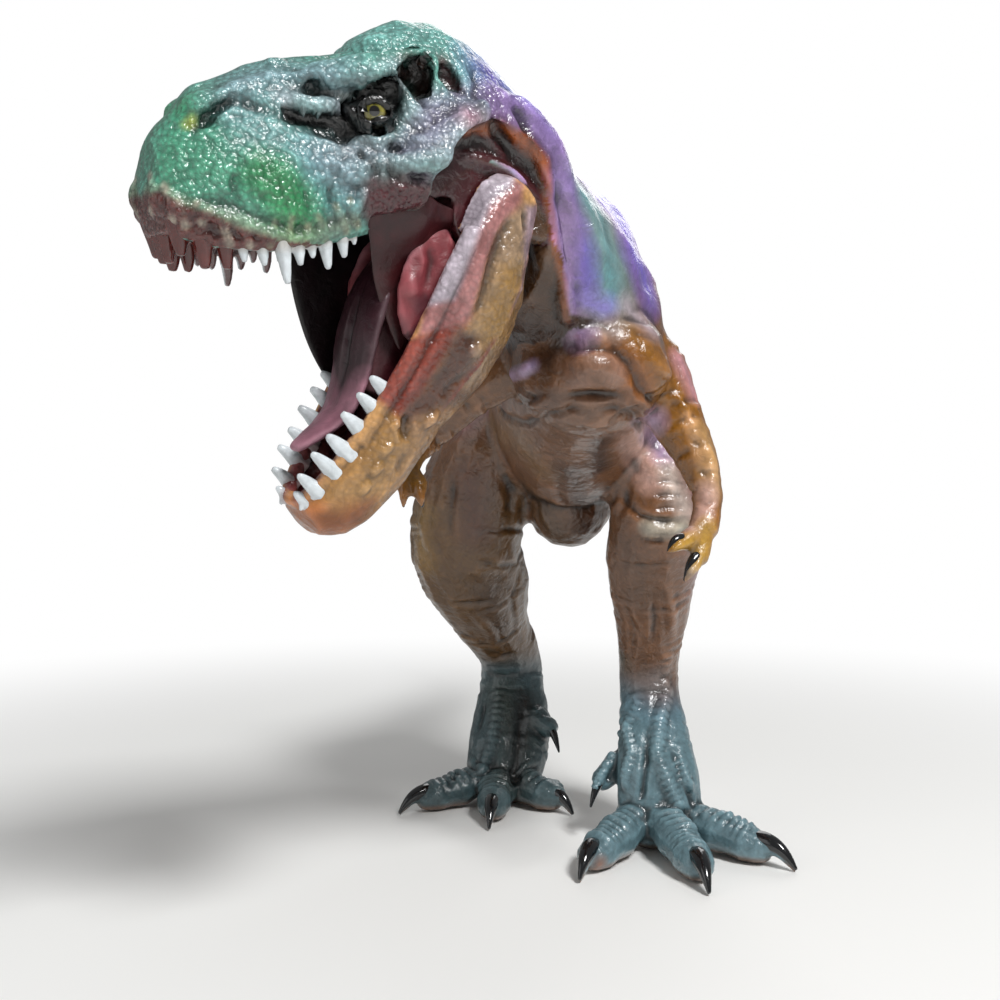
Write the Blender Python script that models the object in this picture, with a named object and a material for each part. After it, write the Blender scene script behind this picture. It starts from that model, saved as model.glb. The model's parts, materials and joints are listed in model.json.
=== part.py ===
"""Toy dinosaur figure: a roaring Tyrannosaurus of painted soft vinyl, in separate castings.

Metres, Z up. The animal faces -Y and its left side is +X. The origin is on the floor, under the
middle of the figure. The head turns to the animal's right, and its lower jaw swings on a pin.
"""
import math

import bmesh
import bpy
from mathutils import Euler, Matrix, Vector

# General sizes
seam = 0.0003
overrun = 0.02
smooth_angle = math.radians(50)
tangent_step = 0.05

# Body
hip_height = 0.115
torso_length = 0.090
torso_width = 0.045
torso_height = 0.058
torso_wall = 0.003
chest_depth = 0.024
belly_width = 0.025
hip_along_share = 0.667
shoulder_rise_share = 0.28

# Neck, from the shoulders to the jaw hinge
neck_forward = 0.033
neck_aside = 0.0284
neck_rise = 0.0125
neck_width = 0.036
neck_height = 0.040
neck_peg_radius = 0.007
neck_peg_depth = 0.009

# Tail
tail_length = 0.135
tail_width = 0.029
tail_height = 0.034
tail_sway = 0.012
tail_peg_radius = 0.006
tip_peg_radius = 0.003
tail_peg_depth = 0.009

# Legs and feet
stance = 0.022
leg_reach = 0.030
thigh_width = 0.025
thigh_depth = 0.036
hip_peg_radius = 0.005
hip_peg_depth = 0.008
ankle_peg_radius = 0.0042
ankle_peg_depth = 0.007
toe_length = 0.040
toe_width = 0.012
claw_width = 0.0058
claw_rise = 0.0022

# Arms
arm_length = 0.050
arm_width = 0.014
arm_peg_radius = 0.0024
arm_peg_depth = 0.005
finger_width = 0.0048

# Head, with its hinge at the origin of its own frame, facing -Y
head_yaw = math.radians(-53)
head_pitch = math.radians(6)
head_roll = math.radians(8)
skull_length = 0.060
skull_width = 0.036
skull_height = 0.040
lip_wall = 0.003
palate_wall = 0.0014
mouth_drop = 0.012
eye_radius = 0.0027
pin_radius = 0.0015
throat_width = 0.0234
throat_radius = 0.0075

# Lower jaw
jaw_opening = math.radians(53.6)
jaw_length = 0.0645
jaw_width = 0.033
jaw_height = 0.022
jaw_floor = 0.0035
jaw_recess_radius = 0.0158
jaw_floor_radius = 0.0140
throat_slot_depth = 0.0145
pin_cover = 0.0012
tongue_width = 0.015
tongue_length = 0.040
tongue_height = 0.0075

# Teeth
tooth_length = 0.0062
tooth_radius = 0.00125
gum_width = 0.0024
gum_height = 0.0019
teeth_a_side = 10


def catmull(before, start, end, after, part):
    """One value on the smooth curve from start to end."""
    square = part * part
    cube = square * part
    return 0.5 * (2 * start + (end - before) * part
                  + (2 * before - 5 * start + 4 * end - after) * square
                  + (3 * start - before - 3 * end + after) * cube)


def row_at(rows, place):
    """The section at a place along the rows, where whole numbers are the rows themselves."""
    index = min(int(place), len(rows) - 2)
    picked = [rows[max(index - 1, 0)], rows[index], rows[index + 1], rows[min(index + 2, len(rows) - 1)]]
    return [catmull(*values, place - index) for values in zip(*picked)]


def rows_between(rows, start, end, steps):
    """Sections from start to end, with steps of them between two given rows, each with its tangent."""
    places = [start]
    places += [step / steps for step in range(1, len(rows) * steps) if start < step / steps < end]
    places.append(end)
    sections = []
    for place in places:
        before = Vector(row_at(rows, max(place - tangent_step, 0))[:3])
        after = Vector(row_at(rows, min(place + tangent_step, len(rows) - 1))[:3])
        sections.append((row_at(rows, place), (after - before).normalized()))
    return sections


def ring_frame(row, tangent, facing):
    """The centre, the tangent and the two cross directions of a section."""
    across = tangent.cross(facing).normalized()
    up = (facing - tangent * facing.dot(tangent)).normalized()
    return Vector(row[:3]), tangent, across, up


def dome_steps(length, count=2):
    """The advance and the width share of the rings that round an end off."""
    steps = []
    for step in range(1, count + 1):
        angle = math.pi / 2 * step / count
        steps.append((length * math.sin(angle), 0.96 * math.cos(angle) + 0.04))
    return steps


def ring(frame, half_width, top, bottom, narrow_share, sides, square_share):
    """The points of one section: an oval that may be squarer, and narrower at its top."""
    centre, across, up = frame[0], frame[2], frame[3]
    points = []
    for side in range(sides):
        angle = 2 * math.pi * (side + 0.5) / sides
        cosine = math.copysign(abs(math.cos(angle)) ** square_share[angle > math.pi], math.cos(angle))
        sine = math.copysign(abs(math.sin(angle)) ** square_share[angle > math.pi], math.sin(angle))
        narrow = 1 - narrow_share * max(sine, 0)
        height = top if sine > 0 else bottom
        points.append(centre + across * half_width * cosine * narrow + up * height * sine)
    return points


def loft(name, sections, facing, group, sides=16, grow=0, trim=(0, 0), dome=(0, 0),
         square_share=(1, 1), egg_share=0):
    """A closed skin through oval sections."""
    rings = []
    for index, (row, tangent) in enumerate(sections):
        centre, tangent, across, up = ring_frame(row, tangent, facing)
        if index == 0:
            centre = centre + tangent * (trim[0] - grow)
        if index == len(sections) - 1:
            centre = centre - tangent * (trim[1] - grow)
        sizes = [max(size + grow, seam) for size in row[3:6]]
        sizes.append(row[6] if len(row) > 6 else egg_share)
        rings.append(((centre, tangent, across, up), sizes))
    for end, sign in ((0, -1), (-1, 1)):
        if dome[end]:
            (centre, tangent, across, up), sizes = rings[end]
            for advance, width_share in dome_steps(dome[end]):
                frame = (centre + tangent * advance * sign, tangent, across, up)
                entry = (frame, [size * width_share for size in sizes[:3]] + sizes[3:])
                if end == 0:
                    rings.insert(0, entry)
                else:
                    rings.append(entry)
    shape = bmesh.new()
    loops = [[shape.verts.new(point) for point in ring(frame, *sizes, sides, square_share)]
             for frame, sizes in rings]
    for first, second in zip(loops, loops[1:]):
        for side in range(sides):
            after = (side + 1) % sides
            shape.faces.new((first[side], first[after], second[after], second[side]))
    shape.faces.new(loops[0])
    shape.faces.new(loops[-1])
    return finish_mesh(name, shape, group)


def finish_mesh(name, shape, group):
    """Turn a bmesh into an object of a group, with its faces pointing out."""
    bmesh.ops.recalc_face_normals(shape, faces=shape.faces)
    mesh = bpy.data.meshes.new(name)
    shape.to_mesh(mesh)
    shape.free()
    mesh.shade_smooth()
    mesh.set_sharp_from_angle(angle=smooth_angle)
    item = bpy.data.objects.new(name, mesh)
    groups[group].objects.link(item)
    if group == 'guides':
        item.hide_render = True
        item.display_type = 'WIRE'
    return item


def ellipsoid(name, centre, radii, group='guides', tilt=0, segments=12, rings=8):
    """A ball stretched to three radii and tilted about X."""
    shape = bmesh.new()
    bmesh.ops.create_uvsphere(shape, u_segments=segments, v_segments=rings, radius=1)
    bmesh.ops.scale(shape, verts=shape.verts, vec=Vector(radii))
    bmesh.ops.rotate(shape, verts=shape.verts, matrix=Matrix.Rotation(tilt, 3, 'X'))
    bmesh.ops.translate(shape, verts=shape.verts, vec=Vector(centre))
    return finish_mesh(name, shape, group)


def cylinder(name, centre, axis, radius, length, group='guides', segments=24, tip_radius=None):
    """A cylinder or cone centred on a point, along an axis."""
    shape = bmesh.new()
    bmesh.ops.create_cone(shape, cap_ends=True, segments=segments, radius1=radius,
                          radius2=radius if tip_radius is None else tip_radius, depth=length)
    turn = Vector((0, 0, 1)).rotation_difference(Vector(axis)).to_matrix()
    bmesh.ops.rotate(shape, verts=shape.verts, matrix=turn)
    bmesh.ops.translate(shape, verts=shape.verts, vec=Vector(centre))
    return finish_mesh(name, shape, group)


def box(name, low, high, group='guides'):
    """A box between two corners."""
    shape = bmesh.new()
    bmesh.ops.create_cube(shape, size=1)
    size = Vector(high) - Vector(low)
    bmesh.ops.scale(shape, verts=shape.verts, vec=size)
    bmesh.ops.translate(shape, verts=shape.verts, vec=(Vector(high) + Vector(low)) / 2)
    return finish_mesh(name, shape, group)


def combine(target, other, operation, solver='EXACT'):
    """A Boolean modifier that adds or cuts the other object's shape."""
    modifier = target.modifiers.new(operation.title() + ' ' + other.name, 'BOOLEAN')
    modifier.operation = operation
    modifier.object = other
    modifier.solver = solver


def add(target, *others, solver='EXACT'):
    for other in others:
        combine(target, other, 'UNION', solver)


def cut(target, *others, solver='EXACT'):
    for other in others:
        combine(target, other, 'DIFFERENCE', solver)


def paint(item, colour, roughness):
    """Give an object its own painted vinyl."""
    material = bpy.data.materials.new(item.name)
    material.use_nodes = True
    shader = material.node_tree.nodes['Principled BSDF']
    shader.inputs['Base Color'].default_value = (*colour, 1)
    shader.inputs['Roughness'].default_value = roughness
    shader.inputs['Metallic'].default_value = 0
    item.data.materials.append(material)


def clear_scene():
    for item in list(bpy.data.objects):
        bpy.data.objects.remove(item)


def make_groups():
    result = {}
    for name, title in (('parts', 'toy dinosaur figure'), ('guides', 'cutters and guides')):
        result[name] = bpy.data.collections.new(title)
        bpy.context.scene.collection.children.link(result[name])
    return result


def empty(name, parent, location=(0, 0, 0), rotation=None):
    item = bpy.data.objects.new(name, None)
    groups['guides'].objects.link(item)
    item.parent = parent
    item.location = location
    if rotation:
        item.rotation_mode = rotation.order
        item.rotation_euler = rotation
    return item


def scaled_rows(table, origin, reach, width, height):
    """Turn rows of shares into places and half sizes in metres."""
    rows = []
    for aside, forward, rise, half_width, top, bottom, *narrow_share in table:
        place = Vector(origin) + Vector((aside * reach[0], forward * reach[1], rise * reach[2]))
        rows.append([*place, half_width * width, top * height, bottom * height, *narrow_share])
    return rows


# Shares of the neck's offsets, from inside the skull back to just before the shoulders:
# aside, forward, rise, then half width, top, bottom and how far the top narrows
neck_shares = (
    (1.22, 1.21, 1.90, 0.30, 0.22, 0.25, 0.10),
    (0.83, 0.95, 1.96, 0.43, 0.37, 0.38, 0.20),
    (0.53, 0.61, 1.30, 0.44, 0.39, 0.44, 0.32),
    (0.18, 0.27, 0.70, 0.45, 0.50, 0.52, 0.45),
)
# Shares of the torso from the shoulders to the tail: along, rise, half width, top, bottom, narrowing
torso_shares = (
    (0.00, 0.33, 0.380, 0.47, 0.53, 0.52),
    (0.20, 0.19, 0.430, 0.47, 0.47, 0.40),
    (0.42, 0.05, 0.475, 0.46, 0.48, 0.32),
    (0.62, -0.02, 0.445, 0.40, 0.46, 0.25),
    (0.80, -0.03, 0.390, 0.35, 0.40, 0.20),
    (1.00, -0.05, 0.322, 0.293, 0.293, 0.14),
)
# Shares of the tail behind the torso: along, sway, rise, half width, half height and narrowing
tail_shares = (
    (0.15, 0.15, -0.10, 0.44, 0.43, 0.12),
    (0.33, 0.50, -0.14, 0.35, 0.34, 0.10),
    (0.52, 0.95, -0.10, 0.25, 0.25, 0.10),
    (0.75, 1.00, 0.05, 0.145, 0.15, 0.10),
    (0.97, 0.40, 0.28, 0.05, 0.05, 0.10),
)
neck_seam_place = 3.4
shoulder_row = 4
hollow_end_place = 6.5
torso_end_place = 9
tail_seam_place = 12


def shoulder_place():
    return Vector((0, -hip_along_share * torso_length, hip_height + shoulder_rise_share * torso_height))


def spine_rows():
    """Sections from inside the skull to the tip of the tail."""
    shoulder = shoulder_place()
    neck_reach = (-neck_aside, -neck_forward, neck_rise)
    rows = scaled_rows(neck_shares, shoulder, neck_reach, neck_width, neck_height)
    for along, rise, half_width, top, bottom, narrow_share in torso_shares:
        place = (0, (along - hip_along_share) * torso_length, hip_height + rise * torso_height)
        rows.append([*place, half_width * torso_width, top * torso_height, bottom * torso_height,
                     narrow_share])
    tail_start = Vector(rows[-1][:3])
    for along, sway, rise, half_width, half_height, narrow_share in tail_shares:
        place = tail_start + Vector((sway * tail_sway, along * tail_length, rise * tail_height))
        rows.append([*place, half_width * tail_width, half_height * tail_height, half_height * tail_height,
                     narrow_share])
    return rows


def torso_sections(rows):
    """The body casting's sections, with none where the back bends in front of the shoulders."""
    first = rows_between(rows, neck_seam_place, shoulder_row, 1)[:1]
    return first + rows_between(rows, shoulder_row, torso_end_place, 2)


def spine_peg(name, rows, place, radius, depth, clearance):
    """A peg through a seam of the spine, or its hole."""
    here = Vector(row_at(rows, place)[:3])
    ahead = Vector(row_at(rows, place + 0.1)[:3])
    return cylinder(name, here, ahead - here, radius + clearance, 2 * (depth + clearance))


def chest_masses(clearance, name):
    """The breast muscles under the neck and the bulge of the belly between the legs."""
    shoulder = shoulder_place()
    low = hip_height + (torso_shares[0][1] - torso_shares[0][4]) * torso_height
    breast_centre = Vector((0, shoulder.y - 0.42 * chest_depth, low + 0.26 * torso_height))
    breast_radii = (0.38 * torso_width, 0.5 * chest_depth, 0.26 * torso_height)
    belly_centre = (0, 0, hip_height - 0.42 * torso_height)
    belly_radii = (0.5 * belly_width, 0.56 * belly_width, 0.235 * torso_height)
    return [ellipsoid(name + '_breast', breast_centre, [size + clearance for size in breast_radii]),
            ellipsoid(name + '_belly', belly_centre, [size + clearance for size in belly_radii])]


def make_torso(rows, root):
    """The body casting with its seam holes. Its hollow is cut last, after the limbs' holes."""
    up = Vector((0, 0, 1))
    torso = loft('torso', torso_sections(rows), up, 'parts', sides=20)
    hollow_rows = rows_between(rows, shoulder_row, hollow_end_place, 2)
    hollow = loft('torso_hollow', hollow_rows, up, 'guides', sides=12, grow=-torso_wall,
                  trim=(-torso_wall, -torso_wall))
    neck_fit = loft('neck_fit', rows_between(rows, 0, neck_seam_place, 2), up, 'guides', sides=18,
                    grow=2 * seam, trim=(0, 2 * seam))
    breast, belly = chest_masses(0, 'mass')
    cut(breast, neck_fit, solver='MANIFOLD')
    add(torso, breast, belly, solver='MANIFOLD')
    neck_hole = spine_peg('neck_hole', rows, neck_seam_place, neck_peg_radius, neck_peg_depth, seam)
    tail_hole = spine_peg('tail_hole', rows, torso_end_place, tail_peg_radius, tail_peg_depth, seam)
    cut(torso, neck_hole, tail_hole, solver='MANIFOLD')
    paint(torso, (0.24, 0.15, 0.10), 0.4)
    for item in (torso, hollow, neck_fit, breast, belly):
        item.parent = root
    fit = loft('torso_fit', torso_sections(rows), up, 'guides', sides=20, grow=2 * seam)
    add(fit, neck_fit, *chest_masses(2 * seam, 'fit'), solver='MANIFOLD')
    return torso, fit, hollow


def make_tail(rows, root):
    """Two castings behind the torso, with a peg at each seam."""
    up = Vector((0, 0, 1))
    base = loft('tail_base', rows_between(rows, torso_end_place, tail_seam_place, 3), up, 'parts', sides=20,
                trim=(seam, 0))
    end_place = len(rows) - 1
    tip = loft('tail_tip', rows_between(rows, tail_seam_place, end_place, 3), up, 'parts', sides=12,
               trim=(seam, 0), dome=(0, 0.03 * tail_length))
    add(base, spine_peg('tail_peg', rows, torso_end_place, tail_peg_radius, tail_peg_depth, 0))
    cut(base, spine_peg('tip_hole', rows, tail_seam_place, tip_peg_radius, tail_peg_depth, seam))
    add(tip, spine_peg('tip_peg', rows, tail_seam_place, tip_peg_radius, tail_peg_depth, 0))
    for item in (base, tip):
        item.parent = root
        paint(item, (0.20, 0.14, 0.13), 0.4)


# Shares of the legs, from the hip to the ball of the foot: aside, forward, rise, half width,
# front and back. The seam with the foot is at row nine.
left_leg_shares = (
    (0.77, 0.13, 1.11, 0.28, 0.33, 0.36),
    (0.86, -0.07, 1.04, 0.42, 0.47, 0.50),
    (0.93, -0.33, 0.92, 0.50, 0.47, 0.50),
    (0.95, -0.63, 0.83, 0.50, 0.42, 0.42),
    (0.95, -0.80, 0.75, 0.48, 0.36, 0.31),
    (0.93, -0.63, 0.64, 0.48, 0.26, 0.33),
    (0.98, -0.33, 0.52, 0.40, 0.22, 0.28),
    (1.00, -0.10, 0.43, 0.34, 0.21, 0.24),
    (1.00, 0.00, 0.37, 0.33, 0.22, 0.22),
    (1.01, -0.08, 0.30, 0.34, 0.21, 0.21),
    (1.02, -0.27, 0.23, 0.38, 0.21, 0.21),
    (1.03, -0.47, 0.15, 0.44, 0.20, 0.20),
    (1.04, -0.57, 0.08, 0.44, 0.18, 0.18),
)
right_leg_shares = (
    (0.73, 0.20, 1.10, 0.28, 0.33, 0.36),
    (0.86, 0.10, 1.01, 0.42, 0.50, 0.47),
    (1.05, 0.03, 0.89, 0.54, 0.50, 0.50),
    (1.23, 0.07, 0.77, 0.63, 0.42, 0.42),
    (1.30, 0.17, 0.66, 0.63, 0.36, 0.36),
    (1.11, 0.47, 0.56, 0.58, 0.29, 0.36),
    (0.98, 0.83, 0.47, 0.44, 0.25, 0.29),
    (0.77, 1.17, 0.39, 0.38, 0.24, 0.25),
    (0.70, 1.30, 0.33, 0.39, 0.22, 0.24),
    (0.70, 1.25, 0.27, 0.41, 0.22, 0.22),
    (0.70, 1.13, 0.20, 0.48, 0.22, 0.22),
    (0.75, 0.97, 0.13, 0.50, 0.22, 0.20),
    (0.82, 0.83, 0.07, 0.46, 0.20, 0.18),
)
foot_seam_place = 9
hip_peg_share = 0.90
# Toes from the ball of the foot, in shares of the toe length: start, knuckle, end and claw tip
left_toe_shares = (
    ((-0.15, 0.00), (-0.35, -0.33), (-0.50, -0.53), (-0.58, -0.72)),
    ((0.00, -0.08), (0.08, -0.45), (0.12, -0.70), (0.14, -0.92)),
    ((0.16, 0.03), (0.40, -0.23), (0.57, -0.38), (0.74, -0.53)),
)
right_toe_shares = (
    ((-0.14, -0.05), (-0.36, -0.18), (-0.56, -0.29), (-0.74, -0.40)),
    ((0.00, -0.08), (-0.05, -0.30), (-0.08, -0.55), (-0.10, -0.76)),
    ((0.11, -0.05), (0.21, -0.18), (0.36, -0.30), (0.49, -0.42)),
)
toe_rise_shares = (0.60, 0.42, 0.32, 0.00)
toe_swell_shares = (0.50, 0.42, 0.48, 0.41, 0.42, 0.34)
claw_swell_shares = (0.50, 0.44, 0.28, 0.06)
# The small inner toe: aside, forward and rise of its start, middle and claw tip
left_spur_shares = ((-0.25, 0.22, 1.60), (-0.37, 0.16, 1.25), (-0.45, 0.03, 0.80))
right_spur_shares = ((0.24, 0.10, 2.00), (0.35, 0.05, 1.75), (0.41, -0.06, 1.25))


def claw(name, start, tip, width, facing=Vector((0, 0, 1)), bow=Vector((0, 0, claw_rise))):
    """A curved claw from inside the toe's end to its tip."""
    start = Vector(start)
    tip = Vector(tip)
    rows = []
    for index, swell in enumerate(claw_swell_shares):
        part = index / (len(claw_swell_shares) - 1)
        place = start.lerp(tip, part) + bow * 4 * part * (1 - part)
        rows.append([*place, 0.42 * width * swell / claw_swell_shares[0],
                     0.5 * width * swell / claw_swell_shares[0], 0.5 * width * swell / claw_swell_shares[0]])
    return loft(name, rows_between(rows, 0, len(rows) - 1, 1), facing, 'guides', sides=6)


def toe(name, ball, shares):
    """A jointed toe with its claw, from the ball of the foot."""
    stops = [Vector((ball.x + aside * toe_length, ball.y + forward * toe_length, rise * toe_width))
             for (aside, forward), rise in zip(shares, toe_rise_shares)]
    start, knuckle, end, tip = stops
    rows = []
    count = len(toe_swell_shares)
    for index, swell in enumerate(toe_swell_shares):
        part = index / (count - 1)
        place = start.lerp(knuckle, min(part * 2, 1)) if part < 0.5 else knuckle.lerp(end, part * 2 - 1)
        rows.append([*place, swell * toe_width, 0.92 * swell * toe_width, 0.92 * swell * toe_width])
    body = loft(name, rows_between(rows, 0, count - 1, 1), Vector((0, 0, 1)), 'guides', sides=10,
                dome=(0.25 * toe_width, 0.25 * toe_width))
    root = end + (knuckle - end).normalized() * 0.1 * toe_width + Vector((0, 0, 0.08 * toe_width))
    return [body, claw(name + '_claw', root, tip, claw_width)]


def spur(name, ball, shares):
    """The small inner toe behind, with its claw."""
    start, middle, tip = [
        Vector((ball.x + aside * toe_length, ball.y + forward * toe_length, rise * toe_width))
        for aside, forward, rise in shares]
    rows = [[*start, 0.34 * toe_width, 0.34 * toe_width, 0.34 * toe_width],
            [*middle, 0.26 * toe_width, 0.26 * toe_width, 0.26 * toe_width]]
    body = loft(name, rows_between(rows, 0, 1, 1), Vector((0, 0, 1)), 'guides', sides=10,
                dome=(0.2 * toe_width, 0.2 * toe_width))
    return [body, claw(name + '_claw', middle, tip, 0.6 * claw_width)]


def make_leg(side, sign, leg_shares, toe_shares, spur_shares, torso, fit, root):
    """A leg and its foot, with pegs at the hip and at the ankle."""
    forward = Vector((0, -1, 0))
    leg_span = (sign * stance, leg_reach, hip_height)
    rows = scaled_rows(leg_shares, (0, 0, 0), leg_span, thigh_width, thigh_depth)
    leg = loft(side + '_leg', rows_between(rows, 0, foot_seam_place, 2), forward, 'parts', sides=16,
               dome=(0.05 * hip_height, 0))
    hip = Vector((sign * hip_peg_share * torso_shares[3][2] * torso_width, 0, hip_height - 0.04 * hip_height))
    hip_peg = cylinder(side + '_hip_peg', hip, (1, 0, 0), hip_peg_radius, 2 * hip_peg_depth)
    hip_hole = cylinder(side + '_hip_hole', hip, (1, 0, 0), hip_peg_radius + seam, 2 * (hip_peg_depth + seam))
    cut(leg, fit, solver='MANIFOLD')
    add(leg, hip_peg)
    cut(torso, hip_hole, solver='MANIFOLD')
    ankle = Vector(row_at(rows, foot_seam_place)[:3])
    below = Vector(row_at(rows, foot_seam_place + 0.1)[:3])
    ankle_hole = cylinder(side + '_ankle_hole', ankle, below - ankle, ankle_peg_radius + seam,
                          2 * (ankle_peg_depth + seam))
    cut(leg, ankle_hole)
    foot = loft(side + '_foot', rows_between(rows, foot_seam_place, len(rows) - 1, 2), forward, 'parts',
                sides=16, trim=(seam, 0), dome=(0, 0.03 * hip_height))
    ankle_peg = cylinder(side + '_ankle_peg', ankle, below - ankle, ankle_peg_radius, 2 * ankle_peg_depth)
    ball = Vector(rows[-1][:3])
    pad = ellipsoid(side + '_pad', (ball.x, ball.y, 0.38 * toe_width),
                    (0.85 * toe_width, 0.75 * toe_width, 0.45 * toe_width))
    add(foot, ankle_peg, pad)
    for index, shares in enumerate(toe_shares):
        add(foot, *toe(f'{side}_toe_{index + 1}', ball, shares))
    add(foot, *spur(side + '_spur', ball, spur_shares))
    reach = 3 * toe_length
    floor = box(side + '_floor', (ball.x - reach, ball.y - reach, -overrun),
                (ball.x + reach, ball.y + reach, 0))
    cut(foot, floor)
    for item in (leg, foot):
        item.parent = root
    paint(leg, (0.25, 0.16, 0.13), 0.4)
    paint(foot, (0.10, 0.16, 0.18), 0.35)


# Shares of the arms from inside the shoulder to the palm: aside, forward, rise and radius
left_arm_shares = (
    (0.20, 0.02, -0.10, 0.42), (0.29, 0.00, -0.22, 0.52), (0.37, -0.04, -0.42, 0.46),
    (0.47, -0.10, -0.64, 0.33), (0.512, -0.16, -0.82, 0.235), (0.48, -0.22, -0.95, 0.235),
)
right_arm_shares = (
    (0.20, 0.00, -0.18, 0.38), (0.36, 0.03, -0.25, 0.44), (0.54, 0.07, -0.36, 0.41),
    (0.70, 0.06, -0.52, 0.33), (0.76, -0.07, -0.60, 0.25), (0.78, -0.18, -0.67, 0.235),
)
# Shares of each finger's knuckle and claw tip
left_finger_shares = (
    ((0.38, -0.30, -1.00), (0.304, -0.35, -1.04)),
    ((0.45, -0.28, -1.07), (0.374, -0.34, -1.165)),
)
right_finger_shares = (
    ((0.78, -0.28, -0.76), (0.78, -0.31, -0.86)),
    ((0.72, -0.27, -0.77), (0.70, -0.31, -0.86)),
)


def make_arm(side, sign, arm_shares, finger_shares, torso, fit, root):
    """A small arm with two clawed fingers, on a peg in the shoulder."""
    shoulder = shoulder_place()
    origin = Vector((0, shoulder.y, shoulder.z))
    reach = Vector((sign * arm_length, arm_length, arm_length))

    def place_of(shares):
        return origin + Vector([share * size for share, size in zip(shares, reach)])

    rows = [[*place_of(row[:3]), *[row[3] * arm_width] * 3] for row in arm_shares]
    forward = Vector((0, -1, 0))
    arm = loft(side + '_arm', rows_between(rows, 0, len(rows) - 1, 2), forward, 'parts', sides=12,
               dome=(0.2 * arm_width, 0.15 * arm_width))
    palm = place_of(arm_shares[-1][:3])
    for index, (knuckle, tip) in enumerate(finger_shares):
        end = place_of(knuckle)
        finger_rows = [[*palm, *[0.5 * finger_width] * 3], [*end, *[0.44 * finger_width] * 3]]
        finger = loft(f'{side}_finger_{index + 1}', rows_between(finger_rows, 0, 1, 1), forward, 'guides',
                      sides=8, dome=(0.2 * finger_width, 0.3 * finger_width))
        nail = claw(f'{side}_finger_claw_{index + 1}', end, place_of(tip), 0.75 * finger_width, forward,
                    forward * 0.4 * claw_rise)
        add(arm, finger, nail, solver='MANIFOLD')
    cut(arm, fit, solver='MANIFOLD')
    peg_centre = Vector((sign * 0.34 * torso_width, shoulder.y - 0.02 * arm_length,
                         shoulder.z - 0.24 * arm_length))
    peg = cylinder(side + '_arm_peg', peg_centre, (1, 0, 0), arm_peg_radius, 2 * arm_peg_depth, segments=16)
    hole = cylinder(side + '_arm_hole', peg_centre, (1, 0, 0), arm_peg_radius + seam,
                    2 * (arm_peg_depth + seam), segments=16)
    add(arm, peg, solver='MANIFOLD')
    cut(torso, hole, solver='MANIFOLD')
    arm.parent = root
    paint(arm, (0.45, 0.22, 0.08), 0.4)


# Shares of the skull from the snout to inside the neck: along, centre height, half width,
# top and bottom
skull_shares = (
    (0.95, 0.04, 0.22, 0.27, 0.15),
    (0.88, 0.03, 0.28, 0.39, 0.18),
    (0.80, 0.03, 0.33, 0.455, 0.20),
    (0.68, 0.03, 0.385, 0.53, 0.205),
    (0.55, 0.05, 0.385, 0.565, 0.19),
    (0.43, 0.075, 0.415, 0.57, 0.165),
    (0.28, 0.125, 0.47, 0.575, 0.155),
    (0.13, 0.20, 0.49, 0.655, 0.20),
    (0.00, 0.225, 0.475, 0.60, 0.225),
    (-0.13, 0.24, 0.44, 0.46, 0.27),
    (-0.23, 0.25, 0.36, 0.34, 0.25),
)
skull_square_share = (0.85, 0.5)
mouth_square_share = (0.75, 0.5)
mouth_front_place = 0.75
mouth_rear_place = 7.4
palate_front_place = 1.2
palate_rear_place = 6.4
mouth_rise_shares = (0.10, 0.11, 0.12, 0.14, 0.18, 0.24, 0.30, 0.32, 0.32, 0.32, 0.32)


def skull_rows():
    return [[0, -along * skull_length, centre * skull_height, half_width * skull_width, top * skull_height,
             bottom * skull_height] for along, centre, half_width, top, bottom in skull_shares]


def mouth_rows():
    """Sections of the hollow of the upper jaw, inside the lips and open below."""
    rows = []
    for row, rise in zip(skull_rows(), mouth_rise_shares):
        rows.append([0, row[1], -mouth_drop, row[3] - lip_wall, mouth_drop + rise * skull_height, mouth_drop])
    return rows


def lip_path(rows, front_place, rear_place, inset, height_share, step_count):
    """Points along a lip from the front on one side to the rear, as x, y, z."""
    points = []
    for step in range(step_count + 1):
        row = row_at(rows, front_place + (rear_place - front_place) * step / step_count)
        points.append(Vector((row[3] - inset, row[1], row[2] + height_share(row))))
    return points


def arch(points, front):
    """A whole arch of points from the rear of one side round the front to the other."""
    other = [Vector((-point.x, point.y, point.z)) for point in points]
    return list(reversed(points)) + [front] + other


def gum(name, path, group, grow=0):
    """A strip of gum of even section along an arch."""
    rows = [[*point, gum_width / 2, gum_height / 2, gum_height / 2] for point in path]
    return loft(name, rows_between(rows, 0, len(rows) - 1, 1), Vector((0, 0, 1)), group, sides=6, grow=grow,
                square_share=(0.8, 0.8))


def tooth_row(name, path, lengths, sign, lean):
    """Cones along a gum arch. The lengths run from the front to the rear."""
    half = len(path) // 2
    teeth = []
    for side in (-1, 1):
        for index in range(teeth_a_side):
            part = (index + 0.6) / (teeth_a_side + 0.4)
            spot = half + side * part * half
            low = min(int(spot), len(path) - 2)
            place = path[low].lerp(path[low + 1], spot - low)
            length = lengths[index] * tooth_length
            tip_way = Vector((math.copysign(lean, place.x), 0.15, sign)).normalized()
            centre = place + tip_way * (0.5 * length + 0.3 * gum_height)
            root_radius = tooth_radius * (0.3 + 0.7 * lengths[index])
            teeth.append(cylinder(f'{name}_{side}_{index}', centre, tip_way, root_radius,
                                  length + 0.6 * gum_height, segments=6, tip_radius=0.15 * tooth_radius))
    return teeth


def join_meshes(name, items):
    """One guide object that holds the separate shapes of several."""
    shape = bmesh.new()
    for item in items:
        shape.from_mesh(item.data)
        bpy.data.objects.remove(item)
    return finish_mesh(name, shape, 'guides')


upper_tooth_shares = (0.50, 0.60, 0.70, 0.85, 1.00, 1.00, 0.90, 0.75, 0.55, 0.40)
lower_tooth_shares = (0.60, 0.80, 0.95, 0.90, 0.85, 0.80, 0.70, 0.60, 0.50, 0.40)


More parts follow.
